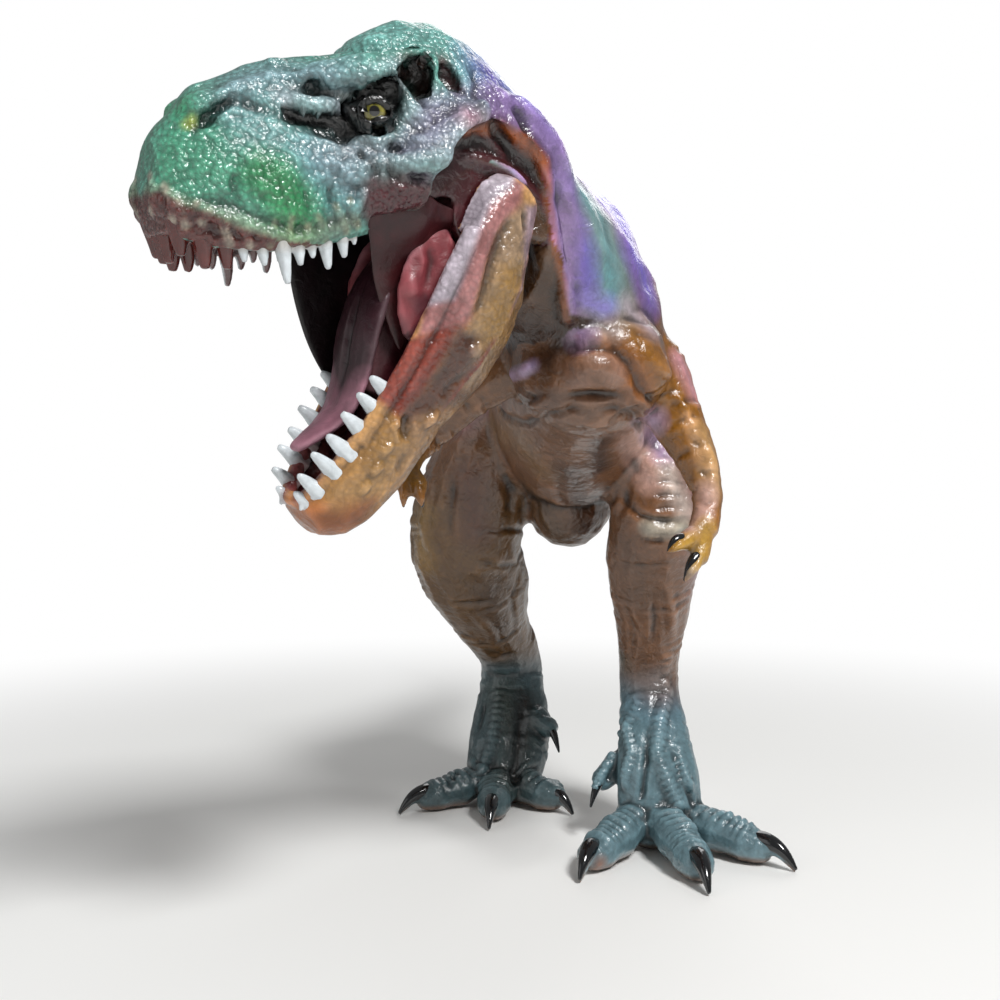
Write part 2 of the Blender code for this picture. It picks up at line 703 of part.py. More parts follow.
def upper_gum_path():
    rows = skull_rows()
    points = lip_path(rows, 0.1, 6.0, 0.85 * lip_wall, lambda row: -0.96 * row[5], 9)
    front = Vector((0, rows[0][1] - 0.05 * lip_wall, points[0].z))
    return arch(points, front)


# Brow ridge over the eye: aside, along and rise in shares of the skull, then radius
brow_shares = (
    (0.18, 0.60, 0.49, 0.040), (0.27, 0.50, 0.52, 0.060), (0.315, 0.40, 0.54, 0.070),
    (0.33, 0.30, 0.57, 0.060), (0.32, 0.20, 0.60, 0.040),
)
cheek_shares = (
    (0.33, 0.50, 0.12, 0.07), (0.365, 0.38, 0.14, 0.09), (0.40, 0.28, 0.18, 0.10), (0.42, 0.16, 0.30, 0.10),
    (0.40, 0.06, 0.44, 0.07),
)
snout_ridge_shares = (
    (0.15, 0.86, 0.33, 0.04), (0.16, 0.76, 0.42, 0.05), (0.16, 0.66, 0.48, 0.05), (0.14, 0.58, 0.51, 0.04),
)


def ridge(name, shares, sign, radius_size):
    """A raised ridge on one side of the skull."""
    rows = [[sign * aside * skull_width, -along * skull_length, rise * skull_height,
             *[radius_share * radius_size] * 3] for aside, along, rise, radius_share in shares]
    return loft(name, rows_between(rows, 0, len(rows) - 1, 1), Vector((0, 0, 1)), 'guides', sides=8,
                dome=(0.5 * rows[0][3], 0.5 * rows[-1][3]))


def skull_dent(name, sign, place_shares, radius_shares):
    """An oval cutter on one side of the skull, in shares of its width, length and height."""
    aside, along, rise = place_shares
    centre = (sign * aside * skull_width, -along * skull_length, rise * skull_height)
    sizes = zip(radius_shares, (skull_width, skull_length, skull_height))
    return ellipsoid(name, centre, [share * size for share, size in sizes])


def make_head(rows, root, head_frame):
    """The skull and neck casting, with its palate, upper teeth, eyes and hinge bore."""
    up = Vector((0, 0, 1))
    skull = loft('head', rows_between(skull_rows(), 0, len(skull_shares) - 1, 2), up, 'parts', sides=20,
                 dome=(0.045 * skull_length, 0.03 * skull_length), square_share=skull_square_share,
                 egg_share=0.28)
    skull.parent = head_frame
    neck = loft('neck', rows_between(rows, 0, neck_seam_place, 2), up, 'guides', sides=18, trim=(0, seam))
    neck.parent = root
    neck_peg = spine_peg('neck_peg', rows, neck_seam_place, neck_peg_radius, neck_peg_depth, 0)
    neck_peg.parent = root
    throat = cylinder('throat', (0, 0, 0), (1, 0, 0), throat_radius, throat_width, segments=24)
    slot_half = 0.5 * throat_width + 3 * seam
    slot = box('throat_slot', (-slot_half, -overrun, -overrun - mouth_drop),
               (slot_half, throat_slot_depth, -0.5 * throat_radius))
    slot.parent = head_frame
    cut(neck, slot)
    add(skull, neck, neck_peg, solver='MANIFOLD')
    mouth = loft('mouth', rows_between(mouth_rows(), mouth_front_place, mouth_rear_place, 2), up, 'guides',
                 sides=18, dome=(0.04 * skull_length, 0), square_share=mouth_square_share)
    local = [throat, mouth]
    half_throat = 0.5 * throat_width
    outside = skull_width
    recesses = []
    for side, sign in (('left', 1), ('right', -1)):
        ridges = [ridge(side + '_brow', brow_shares, sign, skull_height),
                  ridge(side + '_cheek', cheek_shares, sign, skull_height),
                  ridge(side + '_snout_ridge', snout_ridge_shares, sign, skull_height)]
        add(skull, *ridges, solver='MANIFOLD')
        centre = sign * (half_throat + outside) / 2
        recess = cylinder(side + '_recess', (centre, 0, 0), (1, 0, 0), jaw_recess_radius,
                          outside - half_throat, segments=28)
        recesses.append(recess)
        local += ridges + [recess]
    cut(skull, mouth, solver='MANIFOLD')
    add(skull, throat, solver='MANIFOLD')
    cut(skull, *recesses, solver='MANIFOLD')
    bore = cylinder('pin_bore', (0, 0, 0), (1, 0, 0), pin_radius + seam, throat_width + 4 * pin_radius)
    cut(skull, bore, solver='MANIFOLD')
    local.append(bore)
    for side, sign in (('left', 1), ('right', -1)):
        eye_centre = Vector((sign * 0.335 * skull_width, -0.40 * skull_length, 0.375 * skull_height))
        orbit_centre = eye_centre + Vector((sign * 1.3 * eye_radius, -0.5 * eye_radius, 0))
        orbit = ellipsoid(side + '_orbit', orbit_centre,
                          (1.5 * eye_radius, 2.1 * eye_radius, 1.45 * eye_radius))
        socket = ellipsoid(side + '_socket', eye_centre, [eye_radius + seam] * 3)
        lores = skull_dent(side + '_lores', sign, (0.375, 0.55, 0.33), (0.08, 0.09, 0.085))
        window = skull_dent(side + '_window', sign, (0.42, 0.27, 0.50), (0.10, 0.045, 0.13))
        nostril = skull_dent(side + '_nostril', sign, (0.225, 0.855, 0.30), (0.055, 0.045, 0.035))
        cut(skull, orbit, socket, lores, window, nostril, solver='MANIFOLD')
        eye = ellipsoid(side + '_eye', eye_centre, [eye_radius] * 3, 'parts', segments=14, rings=8)
        paint(eye, (0.35, 0.30, 0.05), 0.08)
        local += [orbit, socket, lores, window, nostril, eye]
    palate = loft('palate', rows_between(mouth_rows(), mouth_front_place, palate_rear_place, 2), up, 'parts',
                  sides=18, grow=-seam, dome=(0.04 * skull_length - seam, 0), square_share=mouth_square_share)
    hollow_rows = rows_between(mouth_rows(), palate_front_place, palate_rear_place, 2)
    palate_hollow = loft('palate_hollow', hollow_rows, up, 'guides', sides=18, grow=-seam - palate_wall,
                         trim=(-seam - palate_wall, -3 * palate_wall), dome=(0.03 * skull_length, 0),
                         square_share=mouth_square_share)
    palate_base = box('palate_base', (-outside, -skull_length, -mouth_drop - outside),
                      (outside, skull_length, -0.06 * skull_height))
    cut(palate, palate_hollow, palate_base)
    paint(palate, (0.16, 0.03, 0.05), 0.3)
    gum_path = upper_gum_path()
    teeth = gum('upper_teeth', gum_path, 'parts')
    groove = gum('upper_groove', gum_path, 'guides', grow=seam)
    cones = join_meshes('upper_cones', tooth_row('upper_cone', gum_path, upper_tooth_shares, -1, 0.15))
    add(teeth, cones)
    cut(skull, groove, solver='MANIFOLD')
    cut(palate, groove)
    paint(teeth, (0.75, 0.76, 0.74), 0.25)
    paint(skull, (0.06, 0.26, 0.22), 0.35)
    for item in local + [palate, palate_hollow, palate_base, teeth, groove, cones]:
        item.parent = head_frame
    return skull


# Shares of the lower jaw from behind the hinge to the chin: along, centre height, half width,
# top and bottom
jaw_shares = (
    (-0.12, -0.16, 0.465, 0.27, 0.32),
    (-0.05, -0.14, 0.490, 0.43, 0.43),
    (0.11, -0.14, 0.500, 0.36, 0.66),
    (0.23, -0.23, 0.490, 0.32, 0.71),
    (0.39, -0.32, 0.450, 0.30, 0.64),
    (0.57, -0.36, 0.375, 0.27, 0.46),
    (0.74, -0.36, 0.335, 0.26, 0.44),
    (0.88, -0.32, 0.280, 0.23, 0.38),
    (0.95, -0.25, 0.205, 0.17, 0.30),
)
# Shares of the tongue from its root to its tip: along, rise, half width and half thickness
tongue_shares = (
    (0.00, 0.80, 0.36, 0.22), (0.20, 0.85, 0.46, 0.26), (0.42, 0.55, 0.49, 0.26),
    (0.62, 0.10, 0.43, 0.22), (0.80, -0.05, 0.34, 0.20), (1.00, 0.35, 0.17, 0.14),
)


def jaw_rows():
    return [[0, -along * jaw_length, centre * jaw_height, half_width * jaw_width, top * jaw_height,
             bottom * jaw_height] for along, centre, half_width, top, bottom in jaw_shares]


def jaw_mouth_rows():
    """Sections of the hollow of the lower jaw, open above."""
    rows = []
    for row in jaw_rows():
        rows.append([0, row[1], row[2], row[3] - lip_wall, row[4] + mouth_drop, row[5] - jaw_floor])
    return rows


def tongue_rows():
    rows = []
    for along, rise, half_width, half_height in tongue_shares:
        rows.append([0, -(0.20 * jaw_length + along * tongue_length), rise * tongue_height,
                     half_width * tongue_width, half_height * tongue_height, half_height * tongue_height])
    return rows


def make_jaw(jaw_frame):
    """The moving jaw with its lining, tongue and lower teeth."""
    up = Vector((0, 0, 1))
    rows = jaw_rows()
    jaw = loft('lower_jaw', rows_between(rows, 0, len(rows) - 1, 2), up, 'parts', sides=20,
               dome=(0.035 * jaw_length, 0.045 * jaw_length), square_share=(0.6, 0.8))
    mouth = loft('jaw_mouth', rows_between(jaw_mouth_rows(), 1.9, 7.6, 2), up, 'guides', sides=16,
                 dome=(0, 0.03 * jaw_length), square_share=(0.5, 0.8))
    throat_space = cylinder('throat_space', (0, 0, 0), (1, 0, 0), jaw_floor_radius, throat_width + 2 * seam,
                            segments=28)
    pin_length = jaw_width - 4 * pin_cover
    pin_hole = cylinder('pin_hole', (0, 0, 0), (1, 0, 0), pin_radius + seam, pin_length + 2 * seam)
    cut(jaw, mouth, throat_space, pin_hole, solver='MANIFOLD')
    paint(jaw, (0.42, 0.27, 0.12), 0.4)
    pin = cylinder('jaw_pin', (0, 0, 0), (1, 0, 0), pin_radius, pin_length, 'parts')
    paint(pin, (0.30, 0.30, 0.31), 0.4)
    lining = loft('jaw_lining', rows_between(jaw_mouth_rows(), 2.1, 7.6, 2), up, 'parts', sides=16,
                  grow=-seam, dome=(0, 0.03 * jaw_length - seam), square_share=(0.5, 0.8))
    bed_top = box('bed_top', (-jaw_width, -2 * jaw_length, -0.36 * jaw_height),
                  (jaw_width, jaw_length, overrun + mouth_drop))
    cut(lining, bed_top, solver='MANIFOLD')
    flaps = []
    for side, sign in (('left', 1), ('right', -1)):
        flaps.append(ellipsoid(side + '_flap', (sign * 0.27 * jaw_width, -0.24 * jaw_length, 0),
                               (0.072 * jaw_width, 0.20 * jaw_length, 0.36 * jaw_height),
                               tilt=math.radians(12)))
    table = tongue_rows()
    sections = rows_between(table, 0, len(table) - 1, 3)
    tongue_ends = (0.02 * tongue_length, 0.04 * tongue_length)
    tongue = loft('tongue', sections, up, 'parts', sides=14, dome=tongue_ends)
    tongue_fit = loft('tongue_fit', sections, up, 'guides', sides=14, grow=seam, dome=tongue_ends)
    bed_rows = []
    for row in table[:4]:
        depth = row[2] + 0.42 * jaw_height
        bed_rows.append([0, row[1], row[2] - 0.5 * depth, 0.75 * row[3], 0.5 * depth, 0.5 * depth])
    tongue_bed = loft('tongue_bed', rows_between(bed_rows, 0, len(bed_rows) - 1, 1), up, 'guides', sides=12)
    add(lining, *flaps, tongue_bed, solver='MANIFOLD')
    lining_space = cylinder('lining_space', (0, 0, 0), (1, 0, 0), throat_radius + 3 * seam, jaw_width,
                            segments=32)
    cut(lining, lining_space, tongue_fit, solver='MANIFOLD')
    paint(lining, (0.30, 0.05, 0.08), 0.25)
    paint(tongue, (0.33, 0.12, 0.16), 0.25)
    points = lip_path(rows, len(rows) - 1.1, 3.2, 1.1 * lip_wall, lambda row: 0.9 * row[4], 8)
    front = Vector((0, rows[-1][1] - 0.1 * lip_wall, points[0].z))
    path = arch(points, front)
    teeth = gum('lower_teeth', path, 'parts')
    groove = gum('lower_groove', path, 'guides', grow=seam)
    cones = join_meshes('lower_cones', tooth_row('lower_cone', path, lower_tooth_shares, 1, 0.1))
    add(teeth, cones)
    cut(jaw, groove, solver='MANIFOLD')
    cut(lining, groove, solver='MANIFOLD')
    paint(teeth, (0.75, 0.76, 0.74), 0.25)
    for item in [jaw, mouth, throat_space, pin_hole, pin, lining, bed_top, lining_space, tongue,
                 tongue_fit, tongue_bed, teeth, groove, cones] + flaps:
        item.parent = jaw_frame


def stand_on_floor(root):
    """Move the figure so that its box stands centred over the origin."""
    bpy.context.view_layer.update()
    graph = bpy.context.evaluated_depsgraph_get()
    points = []
    for item in groups['parts'].objects:
        final = item.evaluated_get(graph)
        mesh = final.to_mesh()
        points += [final.matrix_world @ vertex.co for vertex in mesh.vertices]
        final.to_mesh_clear()
    low = [min(point[axis] for point in points) for axis in range(3)]
    high = [max(point[axis] for point in points) for axis in range(3)]
    root.location = (-(low[0] + high[0]) / 2, -(low[1] + high[1]) / 2, -low[2])
    bpy.context.view_layer.update()


clear_scene()
groups = make_groups()
figure = empty('figure', None)
spine = spine_rows()
hinge = shoulder_place() + Vector((-neck_aside, -neck_forward, neck_rise))
head_place = empty('head_place', figure, hinge, Euler((head_pitch, head_roll, head_yaw), 'YXZ'))
jaw_place = empty('jaw_place', head_place, (0, 0, 0), Euler((jaw_opening, 0, 0), 'XYZ'))
body, body_fit, body_hollow = make_torso(spine, figure)
make_tail(spine, figure)
make_leg('left', 1, left_leg_shares, left_toe_shares, left_spur_shares, body, body_fit, figure)
make_leg('right', -1, right_leg_shares, right_toe_shares, right_spur_shares, body, body_fit, figure)
make_arm('left', 1, left_arm_shares, left_finger_shares, body, body_fit, figure)
make_arm('right', -1, right_arm_shares, right_finger_shares, body, body_fit, figure)
cut(body, body_hollow, solver='MANIFOLD')
make_head(spine, figure, head_place)
make_jaw(jaw_place)
for item in groups['guides'].objects:
    if item is not figure and item.parent is None:
        item.parent = figure
stand_on_floor(figure)
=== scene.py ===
import json
import math

import bmesh
import bpy
import numpy as np
from mathutils import Euler, Matrix, Vector
from mathutils.bvhtree import BVHTree

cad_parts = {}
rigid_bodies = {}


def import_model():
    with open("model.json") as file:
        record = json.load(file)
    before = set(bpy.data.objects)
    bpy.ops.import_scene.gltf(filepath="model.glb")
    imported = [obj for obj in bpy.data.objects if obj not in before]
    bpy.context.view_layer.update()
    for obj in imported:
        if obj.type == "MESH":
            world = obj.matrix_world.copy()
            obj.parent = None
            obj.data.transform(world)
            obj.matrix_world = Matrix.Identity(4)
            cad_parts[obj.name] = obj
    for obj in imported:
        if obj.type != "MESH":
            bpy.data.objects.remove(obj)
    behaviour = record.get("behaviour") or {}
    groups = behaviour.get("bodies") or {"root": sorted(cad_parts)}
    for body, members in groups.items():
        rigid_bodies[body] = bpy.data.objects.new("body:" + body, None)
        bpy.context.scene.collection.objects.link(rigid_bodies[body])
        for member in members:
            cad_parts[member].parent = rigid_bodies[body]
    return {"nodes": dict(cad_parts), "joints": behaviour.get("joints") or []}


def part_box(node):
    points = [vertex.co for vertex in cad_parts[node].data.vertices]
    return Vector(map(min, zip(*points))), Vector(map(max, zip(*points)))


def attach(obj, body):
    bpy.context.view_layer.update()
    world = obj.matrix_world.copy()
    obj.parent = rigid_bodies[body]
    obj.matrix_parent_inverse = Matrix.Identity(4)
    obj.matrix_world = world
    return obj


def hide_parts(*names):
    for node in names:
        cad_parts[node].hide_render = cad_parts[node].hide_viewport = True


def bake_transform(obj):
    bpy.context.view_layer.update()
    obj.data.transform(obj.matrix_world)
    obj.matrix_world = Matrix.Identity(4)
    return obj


for thing in list(bpy.data.objects):
    bpy.data.objects.remove(thing)
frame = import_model()
bpy.ops.object.select_all(action="DESELECT")
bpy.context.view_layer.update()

# sizes and places are in millimetres, turns in degrees
mm = 0.001
jawOpen = 53.6  # between the palate and the lower jaw in the photograph
bodyMiddle = 13.0  # the plane that parts the body's left from its right
floorGap = 0.02  # the lowest that a sole or claw may reach
photoCamera = {"eye": (-6.0, -315.65, 90.0), "focal": 1083.0, "centre": 500.0, "lens": 39.0}
hinge = Vector(frame["joints"][0]["pos_m"]) / mm
headTurn = Euler((math.radians(6), math.radians(8), math.radians(-53)), "YXZ").to_matrix()
jawTurn = headTurn @ Matrix.Rotation(math.radians(jawOpen), 3, "X")


def headPlace(x, y, z):
    # from the head's own axes: x to its left, y back along it and z up, all from the hinge
    return headTurn @ Vector((x, y, z)) + hinge


def jawPlace(x, y, z):
    return jawTurn @ Vector((x, y, z)) + hinge


def localTo(turn, points):
    return (points - np.array(hinge)) @ np.array(turn)


def mirrorHead(points):
    turned = localTo(headTurn, points)
    turned[:, 0] *= -1
    return turned @ np.array(headTurn).T + np.array(hinge)


def mirrorBody(points):
    turned = np.array(points, float)
    turned[:, 0] = 2 * bodyMiddle - turned[:, 0]
    return turned


def noMirror(points):
    return points[:0]


def surfaceTree(item):
    return BVHTree.FromObject(item, bpy.context.evaluated_depsgraph_get())


def fromPhoto(tree, marks):
    # the points of a piece's skin behind marks made on the photograph
    eye = Vector(photoCamera["eye"])
    found = []
    for u, v in marks:
        way = Vector(((u - photoCamera["centre"]) / photoCamera["focal"], 1,
                      (photoCamera["centre"] - v) / photoCamera["focal"])).normalized()
        hit = tree.ray_cast(eye * mm, way)
        if hit[0] is not None:
            found.append(np.array(hit[0]) / mm)
    return np.array(found).reshape(-1, 3)


def aroundLimb(tree, centre, way, spread, turnAxis, count=7):
    # points on the skin, fanned about a limb's centre, for a fold across it
    found = []
    for step in range(count):
        angle = math.radians(spread * (step / (count - 1) - 0.5))
        turn = Matrix.Rotation(angle, 3, Vector(turnAxis))
        hit = tree.ray_cast(Vector(centre) * mm, turn @ Vector(way))
        if hit[0] is not None:
            found.append(np.array(hit[0]) / mm)
    return np.array(found).reshape(-1, 3)


# making and joining shapes

def newObject(name, mesh):
    item = bpy.data.objects.new(name, mesh)
    bpy.context.scene.collection.objects.link(item)
    return item


def pickOnly(*items):
    bpy.ops.object.select_all(action="DESELECT")
    for item in items:
        item.select_set(True)
    bpy.context.view_layer.objects.active = items[0]


def joined(name, items):
    pickOnly(*items)
    if len(items) > 1:
        bpy.ops.object.join()
    items[0].name = items[0].data.name = name
    items[0].select_set(False)
    return items[0]


def nodeCopy(name, *nodes):
    # a copy of CAD nodes, with their loose triangles sewn together
    items = []
    for node in nodes:
        item = newObject(name, frame["nodes"][node].data.copy())
        item.data.materials.clear()
        shape = bmesh.new()
        shape.from_mesh(item.data)
        bmesh.ops.remove_doubles(shape, verts=shape.verts, dist=0.01 * mm)
        shape.to_mesh(item.data)
        shape.free()
        items.append(item)
    return joined(name, items)


def applied(item, kind, **settings):
    pickOnly(item)
    modifier = item.modifiers.new(kind, kind)
    for key, value in settings.items():
        setattr(modifier, key, value)
    bpy.ops.object.modifier_apply(modifier=modifier.name)
    item.select_set(False)


def ball(centre, radii, turn):
    bpy.ops.mesh.primitive_uv_sphere_add(segments=32, ring_count=20, radius=1,
                                         location=Vector(centre) * mm, rotation=turn.to_euler(),
                                         scale=Vector(radii) * mm)
    item = bpy.context.object
    bpy.ops.object.transform_apply(location=True, rotation=True, scale=True)
    item.select_set(False)
    return item


def cord(points, radii, rounding=2):
    # a smooth tapering roll through points, closed at both ends
    curve = bpy.data.curves.new("cord", "CURVE")
    curve.dimensions = "3D"
    curve.bevel_depth = mm
    curve.bevel_resolution = rounding
    curve.use_fill_caps = True
    curve.resolution_u = 5
    spline = curve.splines.new("NURBS")
    spline.points.add(len(points) - 1)
    spline.use_endpoint_u = True
    spline.order_u = min(4, len(points))
    for dot, place, radius in zip(spline.points, points, radii):
        dot.co = (*(Vector(place) * mm), 1)
        dot.radius = radius
    pickOnly(newObject("cord", curve))
    bpy.ops.object.convert(target="MESH")
    item = bpy.context.object
    item.select_set(False)
    return item


def wholeArch(half):
    # both sides of a gum line, from one
    return [(-x, y, z) for x, y, z in reversed(half[1:])] + list(half)


def remeshed(item, voxel, smooth):
    applied(item, "REMESH", mode="VOXEL", voxel_size=voxel * mm, use_smooth_shade=True)
    if smooth:
        applied(item, "SMOOTH", factor=0.5, iterations=smooth)


def biggestShell(item):
    # only the outer skin stays, without the walls of the hollow inside
    mesh = item.data
    edges = edgesOf(mesh)
    label = np.arange(len(mesh.vertices))
    while True:
        low = np.minimum(label[edges[:, 0]], label[edges[:, 1]])
        new = label.copy()
        np.minimum.at(new, edges[:, 0], low)
        np.minimum.at(new, edges[:, 1], low)
        new = new[new]
        if (new == label).all():
            break
        label = new
    names, counts = np.unique(label, return_counts=True)
    inner = np.flatnonzero(label != names[counts.argmax()])
    shape = bmesh.new()
    shape.from_mesh(mesh)
    shape.verts.ensure_lookup_table()
    bmesh.ops.delete(shape, geom=[shape.verts[i] for i in inner], context="VERTS")
    shape.to_mesh(mesh)
    shape.free()


def edgesOf(mesh):
    flat = np.empty(len(mesh.edges) * 2, np.int32)
    mesh.edges.foreach_get("vertices", flat)
    return flat.reshape(-1, 2)


def facesOf(mesh):
    # a remeshed skin has four corners on every face
    flat = np.empty(len(mesh.loops), np.int32)
    mesh.loops.foreach_get("vertex_index", flat)
    return flat.reshape(-1, 4)


# carving and spraying, on arrays of a mesh's points

def openShape(item, colour):
    count = len(item.data.vertices)
    shape = {"item": item, "edges": edgesOf(item.data),
             "paint": np.tile(linear(colour), (count, 1)),
             "pebble": np.full(count, 0.5), "tree": surfaceTree(item)}
    readPoints(shape)
    return shape


def readPoints(shape):
    mesh = shape["item"].data
    flat = np.empty(len(mesh.vertices) * 3, np.float32)
    mesh.vertices.foreach_get("co", flat)
    shape["points"] = flat.reshape(-1, 3).astype(float) / mm
    mesh.vertex_normals.foreach_get("vector", flat)
    shape["normals"] = flat.reshape(-1, 3).astype(float)


def writePoints(shape):
    mesh = shape["item"].data
    mesh.vertices.foreach_set("co", (shape["points"] * mm).astype(np.float32).ravel())
    mesh.update()
    readPoints(shape)


def nearLine(points, line, reach):
    # the points within reach of a line, how far each is from it and how far along
    line = np.asarray(line, float).reshape(-1, 3)
    low, high = line.min(0) - reach, line.max(0) + reach
    inside = np.flatnonzero(((points > low) & (points < high)).all(1))
    near = points[inside]
    best = np.full(len(inside), np.inf)
    along = np.zeros(len(inside))
    pairs = list(zip(line[:-1], line[1:])) or [(line[0], line[0])]
    for index, (start, end) in enumerate(pairs):
        way = end - start
        part = np.clip((near - start) @ way / max(way @ way, 1e-9), 0, 1)
        gap = np.linalg.norm(near - start - part[:, None] * way, axis=1)
        closer = gap < best
        best[closer] = gap[closer]
        along[closer] = (index + part[closer]) / len(pairs)
    kept = best < reach
    return inside[kept], best[kept], along[kept]


def facingLine(shape, chosen, gaps):
    # leaves out the far side of a thin part
    nearest = chosen[np.argsort(gaps)[:20]]
    way = shape["normals"][nearest].mean(0)
    return shape["normals"][chosen] @ way > -0.1


def carve(shape, line, radius, height, ends=0.3):
    # raises or cuts a soft stroke along a line, and fades it towards both ends
    if len(line) == 0:
        return
    chosen, gaps, along = nearLine(shape["points"], line, radius)
    if len(chosen) == 0:
        return
    fall = (1 - (gaps / radius) ** 2) ** 2 * facingLine(shape, chosen, gaps)
    fall *= np.clip(np.minimum(along, 1 - along) / ends, 0.15, 1)
    shape["points"][chosen] += shape["normals"][chosen] * (fall * height)[:, None]


def carveAll(shape, strokes, mirror):
    # strokes give radius, height and marks on the photograph
    for radius, height, marks in strokes:
        line = fromPhoto(shape["tree"], marks)
        carve(shape, line, radius, height)
        carve(shape, mirror(line), radius, height)


def rippled(shape, line, reach, pitch, depth, warp, seed=5):
    # folds or scutes that follow each other along a line
    chosen, gaps, along = nearLine(shape["points"], line, reach)
    line = np.asarray(line)
    length = np.linalg.norm(np.diff(line, axis=0), axis=1).sum()
    place = along * length / pitch + warp * softNoise(shape["points"][chosen], 6.0, seed)
    wave = 0.5 - np.abs(np.sin(np.pi * place)) ** 0.7
    fall = (1 - (gaps / reach) ** 2) * facingLine(shape, chosen, gaps)
    shape["points"][chosen] -= shape["normals"][chosen] * (wave * depth * fall)[:, None]


def spray(shape, places, radius, colour, strength=1.0):
    # airbrushes soft spots or a line of paint
    if len(places) == 0:
        return
    chosen, gaps, _ = nearLine(shape["points"], places, radius)
    cover = (np.clip(1 - gaps / radius, 0, 1) ** 0.8 * strength).clip(0, 1)[:, None]
    shape["paint"][chosen] = shape["paint"][chosen] * (1 - cover) + linear(colour) * cover


def sprayAll(shape, sprays, mirror):
    # sprays give colour, radius, strength and marks on the photograph
    for colour, radius, strength, marks in sprays:
        line = fromPhoto(shape["tree"], marks)
        spray(shape, line, radius, colour, strength)
        spray(shape, mirror(line), radius, colour, strength)


def tint(shape, cover, colour):
    cover = np.clip(cover, 0, 1)[:, None]
    shape["paint"] = shape["paint"] * (1 - cover) + linear(colour) * cover


def inOutline(points, outline, soft):
    # how far inside an outline on the photograph each point lies, from 0 to 1
    away = points - np.array(photoCamera["eye"])
    marks = np.stack([photoCamera["centre"] + photoCamera["focal"] * away[:, 0] / away[:, 1],
                      photoCamera["centre"] - photoCamera["focal"] * away[:, 2] / away[:, 1]], 1)
    outline = np.array(outline, float)
    gap = np.full(len(points), np.inf)
    inside = np.zeros(len(points), bool)
    for start, end in zip(outline, np.roll(outline, -1, axis=0)):
        way = end - start
        part = np.clip((marks - start) @ way / (way @ way), 0, 1)
        gap = np.minimum(gap, np.linalg.norm(marks - start - part[:, None] * way, axis=1))
        crossed = (start[1] > marks[:, 1]) != (start[1] + way[1] > marks[:, 1])
        over = way[0] * (marks[:, 1] - start[1]) / (way[1] or 1e-9)
        inside ^= crossed & (marks[:, 0] < start[0] + over)
    return smoothStep(np.where(inside, gap, -gap), -soft, soft)


def outlined(shape, outline, soft=2.0, reach=4.5):
    # the cover of an outline on the skin seen in the photograph, and on its twin at the other side
    eye = np.array(photoCamera["eye"])
    cover = np.zeros(len(shape["points"]))
    for seen in (shape["points"], mirrorHead(shape["points"])):
        share = inOutline(seen, outline, soft)
        for index in np.flatnonzero(share > 0.01):
            hit = shape["tree"].ray_cast(Vector(eye) * mm, Vector(seen[index] - eye).normalized())
            if hit[0] is None or np.linalg.norm(np.array(hit[0]) / mm - seen[index]) > reach:
                share[index] = 0
        cover = np.maximum(cover, share)
    return cover


def relaxed(values, edges, times, factor=1.0):
    # draws each point's values towards the mean of its neighbours
    count = np.maximum(np.bincount(edges.ravel(), minlength=len(values)), 1)
    values = values.copy()
    for _ in range(times):
        for axis in range(values.shape[1]):
            column = values[:, axis]
            total = np.bincount(edges[:, 0], weights=column[edges[:, 1]], minlength=len(values))
            total += np.bincount(edges[:, 1], weights=column[edges[:, 0]], minlength=len(values))
            values[:, axis] += factor * (total / count - column)
    return values


def ridgeHeight(shape, times):
    # how far each point stands above the smoothed skin, in millimetres
    smooth = relaxed(shape["points"], shape["edges"], times)
    return ((shape["points"] - smooth) * shape["normals"]).sum(1)


def softNoise(points, pitch, seed):
    # smooth random values from -1 to 1, with lumps of a given size
    table = np.random.default_rng(seed).random((32, 32, 32)) * 2 - 1
    place = points / pitch
    corner = np.floor(place).astype(int)
    part = place - corner
    part = part * part * (3 - 2 * part)
    total = np.zeros(len(points))
    for index in range(8):
        step = np.array([index & 1, index >> 1 & 1, index >> 2 & 1])
        weight = np.prod(np.where(step, part, 1 - part), axis=1)
        spot = (corner + step) % 32
        total += table[spot[:, 0], spot[:, 1], spot[:, 2]] * weight
    return total


def smoothStep(values, low, high):
    part = np.clip((values - low) / (high - low), 0, 1)
    return part * part * (3 - 2 * part)


# colours and finishes

def linear(code):
    parts = np.array([int(code[i:i + 2], 16) / 255 for i in (1, 3, 5)])
    return np.where(parts <= 0.04045, parts / 12.92, ((parts + 0.055) / 1.055) ** 2.4)


def link(tree, node, links):
    for socket, source in links.items():
        tree.links.new(source, node.inputs[socket])


def addNode(tree, kind, links=None, **settings):
    node = tree.nodes.new(kind)
    for key, value in settings.items():
        if key in node.inputs:
            node.inputs[key].default_value = value
        else:
            setattr(node, key, value)
    link(tree, node, links or {})
    return node


def multiplied(tree, first, second):
    return addNode(tree, "ShaderNodeMath", {0: first, 1: second},
                   operation="MULTIPLY").outputs["Value"]


def remap(tree, source, low, high, start, end):
    # turns the range low to high of a value into the range start to end
    node = addNode(tree, "ShaderNodeMapRange", {"Value": source})
    for name, value in (("From Min", low), ("From Max", high), ("To Min", start), ("To Max", end)):
        node.inputs[name].default_value = value
    return node


def plainMaterial(name, colour, roughness, coat=0.0):
    material = bpy.data.materials.new(name)
    material.use_nodes = True
    shader = material.node_tree.nodes["Principled BSDF"]
    shader.inputs["Base Color"].default_value = (*linear(colour), 1)
    shader.inputs["Roughness"].default_value = roughness
    shader.inputs["Coat Weight"].default_value = coat
    return material, material.node_tree, shader


